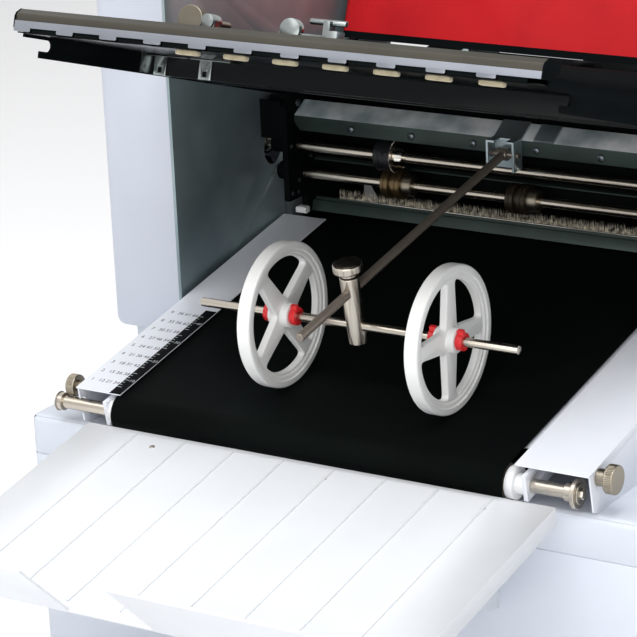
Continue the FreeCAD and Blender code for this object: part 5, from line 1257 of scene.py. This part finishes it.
# ------------------------------------------------------------------------------- static brush
@dataclass(frozen=True)
class StaticBrush(SubAssembly):
    """Antistatic brush over the belt's end: a bar, two wires and leaning bristles. In mm."""

    y: float = 56.500
    z: float = 346.769
    reach: float = 204.0
    bar_length: float = 461.6
    bar_out: float = 11.0
    hair_low: float = 15.6
    hair_high: float = 27.6
    hairs: int = 1700
    hair_radius: float = 0.27

    def bristles(self) -> Solid:
        """Thin three-sided spikes, each with a normal random lean and a random height.

        Returns:
            All the hairs as one solid.
        """
        rng = np.random.default_rng(7)
        low, high = self.z + self.hair_low, self.z + self.hair_high
        count = self.hairs
        x = np.linspace(-self.reach, self.reach, count) + rng.normal(0.0, 0.25, count)
        y = self.y + self.bar_out + rng.uniform(-0.9, 0.9, count)
        lean = rng.normal(0.0, 1.0, (count, 2)) * np.array([1.4, 0.6])
        tall = high - low - rng.uniform(0.0, 6.0, count)
        turn = rng.uniform(0.0, 2 * math.pi, count)
        corner = turn[:, None] + 2 * math.pi * np.arange(3) / 3
        points = np.empty((count, 4, 3))
        points[:, :3, 0] = x[:, None] + self.hair_radius * np.cos(corner)
        points[:, :3, 1] = y[:, None] + self.hair_radius * np.sin(corner)
        points[:, :3, 2] = low
        points[:, 3] = np.column_stack([x + lean[:, 0],
                                        np.clip(y + lean[:, 1], self.y + 8.2, self.y + 13.8),
                                        low + tall])
        first = 4 * np.arange(count)[:, None]
        pattern = np.array([[0, 1, 3], [1, 2, 3], [2, 0, 3]])
        faces = (first[:, :, None] + pattern[None]).reshape(-1, 3)
        return Solid(points.reshape(-1, 3), [tuple(f) for f in faces.tolist()])

    def build(self, shop: Workshop) -> None:
        """Builds the bristles, the bar and the wires that hold the hairs.

        Args:
            shop: the workshop that makes the pieces.
        """
        # The hairs' near-white flecks are painted glints.
        shop.piece("brush_bristles", self.bristles(), BRISTLE, "frame")
        depth = np.array([[-3.0, -3.0], [3.0, -3.0], [3.0, 0.4], [1.6, 3.0], [-1.6, 3.0],
                          [-3.0, 0.4]])
        along = across(0.0, self.y + self.bar_out, self.z + 13.0)
        bar = cut_plate(depth, [], self.bar_length, 0.4)
        shop.piece("brush_bar", bar.placed(along), ZINC_PAINTED_SHADE, "frame",
                   ["static_brush"])
        wire = lathe([(0.0, -self.reach), (0.7, -self.reach), (0.7, self.reach), (0.0, self.reach)],
                     20)
        wires = [wire.shifted(x=dx, y=dy).placed(along) for dx, dy in ((-2.2, 3.4), (2.2, 3.4))]
        shop.piece("brush_wires", joined(wires), CHROME, "frame")


# ------------------------------------------------------------------------------- fold plate
@dataclass(frozen=True)
class FoldPlate(SubAssembly):
    """Upper fold plate with its bar, felt pads, brackets and stop. Sizes in millimetres."""

    pad_first: float = -78.5
    pad_pitch: float = 47.3
    pads: int = 7
    pad_u: float = -29.5
    pad_half: float = 11.2
    half_width: float = 252.5
    tab_first: float = 25.0
    tab_pitch: float = 44.7
    tabs: tuple[int, ...] = tuple(range(-6, 5))
    pad_v: float = 18.7
    knob_x: float = -102.0
    knob_u: float = 2.0
    knob_v: float = 45.5

    def finishes(self) -> dict[str, Finish]:
        """Black sheets and arms, and nickel brackets."""
        return {"fold_plate_arms": BLACK_SATIN, "fold_plate_sheets": BLACK_ENAMEL,
                "plate_brackets": NICKEL, "paper_stop": BLACK_SATIN,
                "lower_fold_plate": BLACK_SATIN}

    def pad(self, rng: np.random.Generator) -> Solid:
        """One felt pad: a superellipsoid whose faces pill by a normal random height.

        With v from pole to pole and u round the axis, each coordinate is the signed power of its
        sine or cosine times the half size.

        Args:
            rng: source of the felt's random heights.

        Returns:
            The pad.
        """
        u = np.linspace(0.0, 2 * math.pi, 64, endpoint=False)
        v = np.linspace(-math.pi / 2, math.pi / 2, 20)
        vv, uu = np.meshgrid(v, u, indexing="ij")

        def power(values: Array, share: float) -> Array:
            """Signed power."""
            return np.sign(values) * np.abs(values) ** share
        fuzz = rng.normal(0.0, 0.05, vv.shape)
        grid = np.stack([self.pad_half * power(np.cos(vv), 0.25) * power(np.cos(uu), 0.22),
                         3.4 * power(np.cos(vv), 0.25) * power(np.sin(uu), 0.35) + 0.6 * fuzz,
                         2.2 * power(np.sin(vv), 0.45) + fuzz - 2.3], -1)
        grid[..., 2] = np.minimum(grid[..., 2], -0.02)
        rows, turns = vv.shape
        faces = [(i * turns + j, i * turns + (j + 1) % turns, (i + 1) * turns + (j + 1) % turns,
                  (i + 1) * turns + j) for i in range(rows - 1) for j in range(turns)]
        return Solid(grid.reshape(-1, 3), faces)

    def build_bar(self, shop: Workshop) -> None:
        """The bar: an extrusion along the plate's width, a strip with tabs in painted highlight,
        and end caps.

        The extrusion and the caps are each an outline of depth against height, drawn out along the
        width.

        Args:
            shop: the workshop that makes the pieces.
        """
        section = np.array([[-37.8, 23.4], [-33.0, 23.4], [-33.0, 26.1], [-10.0, 26.1],
                            [-10.0, 39.4], [-31.6, 39.4], [-37.2, 35.4], [-37.8, 33.8]])
        middle = section.mean(axis=0)
        half = self.half_width - 1.2
        u, v = (float(m) for m in middle)
        body = cut_plate(section - middle, [], 2 * half, 0.5)
        shop.piece("bar_extrusion", body.placed(PLATE.at(0.0, u, v).turned("yzx")), BAR,
                   "fold_plate", ["fold_plate_bar"])
        ends = np.array([[-39.0, 23.0], [-10.0, 23.0], [-10.0, 39.6], [-31.5, 39.6], [-37.5, 35.8],
                         [-39.0, 32.6]]) - middle
        offset = self.half_width - 0.58
        caps = copies(cut_plate(ends, [], 1.15, 0.3),
                      [PLATE.at(x, u, v).turned("yzx") for x in (-offset, offset)])
        shop.piece("bar_end_caps", caps, BLACK_SATIN, "fold_plate")
        edge = [(-half, 29.2), (-half, 23.2)]
        for k in self.tabs:
            x = self.tab_first + k * self.tab_pitch
            edge += [(x - 8.6, 23.2), (x - 8.6, 20.8), (x - 7.6, 20.0), (x + 7.6, 20.0),
                     (x + 8.6, 20.8), (x + 8.6, 23.2)]
        edge += [(half, 23.2), (half, 29.2)]
        strip = cut_plate(np.array(edge) - np.array([0.0, 26.0]), [], 1.15, 0.2)
        front = PLATE.at(0.0, -38.4, 26.0)
        axes = LocalFrame(front.origin, front.x, front.z, tuple(-a for a in front.y))
        clip = np.array([[-13.0, -1.4], [-12.2, -2.0], [12.2, -2.0], [13.0, -1.4], [13.0, 1.6],
                         [-13.0, 1.6]])
        spots = [PLATE.at(self.tab_first + (k + 0.5) * self.tab_pitch, -36.9, 21.6)
                 for k in self.tabs]
        clips = joined(cut_plate(clip, [], 1.6, 0.25).placed(
            LocalFrame(spot.origin, axes.x, axes.y, axes.z)) for spot in spots)
        shop.piece("bar_dark_clips", clips, BLACK_SATIN, "fold_plate")
        # The front strip is drawn in painted highlight.
        shop.piece("bar_front_strip", strip.placed(axes), BAR_PAINTED_HIGHLIGHT, "fold_plate")

    def build(self, shop: Workshop) -> None:
        """Builds the bar, the row of pads and the diamond-knurled knob of the stop's spindle.

        Args:
            shop: the workshop that makes the pieces.
        """
        self.build_bar(shop)
        rng = np.random.default_rng(11)
        row = [self.pad(rng).placed(PLATE.at(self.pad_first + k * self.pad_pitch, self.pad_u,
                                             self.pad_v))
               for k in range(self.pads)]
        shop.piece("felt_pad_row", joined(row), FELT, "fold_plate", ["felt_pads"], 60.0)
        spindle = lathe([(0.0, 8.0), (3.0, 8.0), (3.0, 59.2), (2.2, 60.0), (0.0, 60.0)], 48)
        head = lathe(fine_profile(rounded_profile(12.5, 0.0, 8.0, 1.0), 0.45), 288,
                     diamond_knurl(72, 0.45, 0.9, 7.1, 2.0))
        place = PLATE.at(self.knob_x, self.knob_u, self.knob_v).turned("zxy")
        shop.piece("stop_knob_knurled", joined([head, spindle]).placed(place), STOP_NICKEL,
                   "stop_knob", ["stop_knob"])


# ------------------------------------------------------------------------------- cabinet
@dataclass(frozen=True)
class Cabinet(SubAssembly):
    """Base, housings, catch tray and feed side. Sizes in millimetres."""

    rivets_at: tuple[float, ...] = (-152.0, 25.0, 178.0)
    rivet_s: float = -20.0
    cover_half: float = 254.0
    cover_low: tuple[float, float] = (163.984, 500.025)
    cover_top: tuple[float, float] = (193.984, 580.025)
    cover_hinge: tuple[float, float] = (253.984, 598.025)
    cover_sheet: float = 2.5
    cover_lift: float = 0.085
    barrel_radius: float = 6.5
    pin_radius: float = 5.0
    pin_half: float = 263.5
    cheek_depth: float = 31.0

    def finishes(self) -> dict[str, Finish]:
        """Painted steel outside, a black feed table, zinc guides, rubber feet and roller."""
        return {"base_cabinet": BASE_PAINT, "base_feet": RUBBER_FOOT, "left_housing": HOUSING_PAINT,
                "right_housing": HOUSING_PAINT, "catch_tray": TRAY_PAINT, "feed_table": BLACK_SATIN,
                "feed_roller": ROLLER_RUBBER, "left_guide": ZINC, "right_guide": ZINC,
                "mains_inlet": SOFT_BLACK, "power_rocker": SOFT_BLACK}

    def plain_edges(self) -> dict[str, float]:
        """Rubber needs no broken edges; the cabinet's are rounder."""
        return {"base_feet": 0.0, "feed_roller": 0.0, "left_housing": 0.6, "right_housing": 0.6}

    def build_cover(self, shop: Workshop) -> None:
        """The red cover: a bent sheet, two end cheeks, and the hinge barrel with its pin.

        The sheet is one outline of depth against height, drawn out along the width. Its lower edge,
        the share cover_lift of the slope, is a black strip of painted shade.

        Args:
            shop: the workshop that makes the pieces.
        """
        (y0, z0), (y1, z1), (y2, z2) = self.cover_low, self.cover_top, self.cover_hinge
        t = self.cover_sheet
        ya, za = y0 + self.cover_lift * (y1 - y0), z0 + self.cover_lift * (z1 - z0)
        centre = np.array([y1, z1])
        place = across(0.0, y1, z1)
        sheet = np.array([[ya, za], [ya + t, za], [y1 + t, z1 - t], [y2, z2 - t - 2.0], [y2, z2],
                          [y1, z1]])
        body = cut_plate(sheet - centre, [], 2 * (self.cover_half - 0.05), 0.6)
        side = np.array([[ya, za], [ya + self.cheek_depth, za], [y2, z2 - 30.0], [y2, z2],
                         [y1, z1]]) - centre
        inner = self.cover_half - t / 2 - 0.1
        ends = (-inner, inner)
        cheek = cut_plate(side, [], t, 0.5).placed(place)
        hinge = across(0.0, y2, z2)
        out = self.cover_half - 0.2
        barrel = lathe(rounded_profile(self.barrel_radius, -out, out, 0.8), 64)
        pin = lathe(rounded_profile(self.pin_radius, -self.pin_half, self.pin_half, 0.8), 48)
        parts = [body.placed(place), *(cheek.shifted(x=x) for x in ends), barrel.placed(hinge),
                 pin.placed(hinge)]
        shop.piece("red_cover_sheet", joined(parts), RED_COVER, "red_cover",
                   ["red_cover"])
        # The lower strip and the feet of the cheeks are painted shade in black.
        lip = np.array([[y0, z0], [y0 + t, z0], [ya + t, za - 0.1], [ya, za - 0.1]]) - centre
        foot = np.array([[y0, z0], [y0 + 34.0, z0], [ya + self.cheek_depth, za - 0.1],
                         [ya, za - 0.1]]) - centre
        end = cut_plate(foot, [], t, 0.5).placed(place)
        shade_band = [cut_plate(lip, [], 2 * (self.cover_half - 0.05), 0.5).placed(place),
                *(end.shifted(x=x) for x in ends)]
        shop.piece("cover_edge_painted_shade", joined(shade_band), BLACK_SATIN, "red_cover")

    def build(self, shop: Workshop) -> None:
        """The cover, and small domed rivets along the back of the catch tray.

        Args:
            shop: the workshop that makes the pieces.
        """
        self.build_cover(shop)
        rivet = lathe([(0.0, 0.0), (2.6, 0.0), (2.2, 0.5), (1.2, 0.8), (0.0, 0.9)], 32)
        rivets = copies(rivet, [TRAY.at(x, self.rivet_s, 0.0) for x in self.rivets_at])
        shop.piece("tray_rivets", rivets, SCREW, "frame")


@dataclass(frozen=True)
class Controls(SubAssembly):
    """Keypad on the right housing with two buttons, a dial and a display. Sizes in millimetres."""

    x: float = 301.0
    y: float = 40.0
    top: float = 674.0
    window: tuple[float, float] = (12.6, 21.6)
    ring: float = 17.6
    ring_ticks: int = 11
    ring_start: float = -140.0
    ring_step: float = 28.0

    def finishes(self) -> dict[str, Finish]:
        """Dark panel, green and red buttons and a black dial."""
        return {"control_panel": PANEL, "start_button": GREEN, "stop_button": RED_BUTTON,
                "speed_dial": SOFT_BLACK}

    def build(self, shop: Workshop) -> None:
        """Display window and the dial's ring of ticks.

        Args:
            shop: the workshop that makes the pieces.
        """
        w, h = self.window
        window = cut_plate(rectangle(-w, -h, w, h), [], 0.9, 0.2)
        shop.piece("display_window", window.placed(MACHINE.at(self.x, self.y + 100.0,
                                                              self.top - 0.5)),
                   DISPLAY, "frame")
        ticks = []
        for k in range(self.ring_ticks):
            angle = math.radians(self.ring_start + self.ring_step * k)
            c, s = math.cos(angle), math.sin(angle)
            place = LocalFrame((self.x + self.ring * s, self.y + 60.0 + self.ring * c,
                                self.top + 0.02),
                               (c, -s, 0.0), (s, c, 0.0), (0.0, 0.0, 1.0))
            long = 3.4 if k % 5 == 0 else 2.0
            flat = rectangle(-0.35, 0.0, 0.35, long)
            ticks.append(cut_plate(flat, [], 0.06, 0.01).placed(place))
        shop.piece("dial_ticks", joined(ticks), WHITE_PRINT, "frame")


# ------------------------------------------------------------------------------- studio
@dataclass(frozen=True)
class Softbox:
    """An area light aimed at a point, in metres and watts."""

    name: str
    at: tuple[float, float, float]
    aim: tuple[float, float, float]
    size: float
    power: float


@dataclass(frozen=True)
class Studio:
    """Camera, soft lights and a pale floor. The camera's place is in mm, its angles in degrees."""

    camera_at: tuple[float, float, float] = (1271.56, -2282.82, 1148.87)
    azimuth: float = 32.6685
    height: float = 18.1410
    roll: float = -2.5751
    lens: float = 165.545
    sky: float = 0.38
    floor_half: float = 9.0
    floor_glow: float = 0.2
    softboxes: tuple[Softbox, ...] = (
        Softbox("key_softbox", (-1.7, -1.7, 2.9), (0.0, 0.0, 0.35), 2.0, 19.0),
        Softbox("top_softbox", (0.4, -1.0, 3.3), (0.0, -0.2, 0.3), 2.4, 80.0),
        Softbox("front_softbox", (0.1, -3.0, 1.75), (0.0, 0.0, 0.35), 1.6, 12.0),
        Softbox("low_softbox", (0.5, -3.2, 0.75), (0.0, 0.0, 0.4), 1.2, 10.0),
        Softbox("right_softbox", (1.5, -2.4, 1.5), (-0.15, -0.1, 0.35), 1.2, 13.0),
    )

    def axes(self) -> Matrix:
        """Rotation of the camera: its back axis by azimuth and height, then a roll about it.

        Returns:
            The rotation from camera to scene.
        """
        az, el, roll = (math.radians(v) for v in (self.azimuth, self.height, self.roll))
        back = Vector((math.sin(az) * math.cos(el), -math.cos(az) * math.cos(el), math.sin(el)))
        right = Vector((math.cos(az), math.sin(az), 0.0))
        up = back.cross(right)
        c, s = math.cos(roll), math.sin(roll)
        return Matrix((right * c + up * s, up * c - right * s, back)).transposed()

    def build_camera(self) -> None:
        """The scene's camera."""
        data = bpy.data.cameras.new("view_camera")
        data.sensor_width = 36.0
        data.lens = self.lens
        data.clip_end = 50.0
        camera = linked("view_camera", data)
        camera.matrix_world = Matrix.Translation(Vector(self.camera_at) * MM) @ self.axes().to_4x4()
        bpy.context.scene.camera = camera

    def seen(self, tree: bpy.types.NodeTree) -> bpy.types.NodeSocket:
        """Socket that is 1 for camera, glossy and transmission rays, and 0 for other light.

        Args:
            tree: the material's node tree.

        Returns:
            The socket.
        """
        rays = add(tree, "LightPath")
        first = add(tree, "Math", {0: rays.outputs["Is Camera Ray"],
                                   1: rays.outputs["Is Glossy Ray"]},
                    operation="MAXIMUM")
        return add(tree, "Math", {0: first.outputs["Value"],
                                  1: rays.outputs["Is Transmission Ray"]},
                   operation="MAXIMUM").outputs["Value"]

    def build_lights(self) -> None:
        """Lamps, and pale surroundings that show white but light only by the sky's level."""
        world = bpy.data.worlds.new("studio")
        world.use_nodes = True
        tree = world.node_tree
        background = tree.nodes["Background"]
        background.inputs["Color"].default_value = (1.0, 1.0, 1.0, 1.0)
        level = add(tree, "MapRange", {"Value": self.seen(tree), "To Min": self.sky, "To Max": 1.0})
        tree.links.new(level.outputs["Result"], background.inputs["Strength"])
        bpy.context.scene.world = world
        for box in self.softboxes:
            data = bpy.data.lights.new(box.name, "AREA")
            data.size = box.size
            data.energy = box.power
            light = linked(box.name, data)
            light.location = box.at
            direction = Vector(box.aim) - Vector(box.at)
            light.rotation_mode = "QUATERNION"
            light.rotation_quaternion = direction.to_track_quat("-Z", "Y")
        bpy.context.scene.view_settings.view_transform = "Standard"

    def build_floor(self) -> None:
        """A pale matt floor that keeps the shadow and shows a little brighter than it lights."""
        mesh = bpy.data.meshes.new("studio_floor")
        half = self.floor_half
        mesh.from_pydata([(-half, -half, 0.0), (half, -half, 0.0), (half, half, 0.0),
                          (-half, half, 0.0)], [], [(0, 1, 2, 3)])
        material, tree = empty_material("studio_floor_paint")
        place = add(tree, "TexCoord").outputs["Object"]
        cloud = add(tree, "TexNoise", {"Vector": place}, Scale=1.2, Detail=2.0)
        tone = add(tree, "Mix", {"Factor": cloud.outputs["Fac"], 6: linear("F4F5F7"),
                                 7: linear("F8F8F9")}, data_type="RGBA")
        lift = add(tree, "Math", {0: self.seen(tree), 1: self.floor_glow}, operation="MULTIPLY")
        shader = add(tree, "BsdfPrincipled", {
            "Base Color": tone.outputs[2], "Emission Strength": lift.outputs["Value"],
            "Roughness": 0.9, "Specular IOR Level": 0.2, "Emission Color": (1.0, 1.0, 1.0, 1.0)})
        add(tree, "OutputMaterial", {"Surface": shader.outputs["BSDF"]})
        mesh.materials.append(material)
        linked("studio_floor", mesh)


# ------------------------------------------------------------------------------- main
def main() -> None:
    """Builds the studio and every sub-assembly in order."""
    logging.basicConfig(level=logging.INFO)
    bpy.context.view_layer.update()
    shop = Workshop(Painter(), frame["nodes"])
    studio = Studio()
    studio.build_camera()
    studio.build_lights()
    studio.build_floor()
    for group in (Cabinet(), Controls(), Conveyor(), RollerFrames(), ToolShafts(), StaticBrush(),
                  StackerWheels(), FoldPlate()):
        group.dress(shop)
        group.build(shop)


if __name__ == "__main__":
    main()
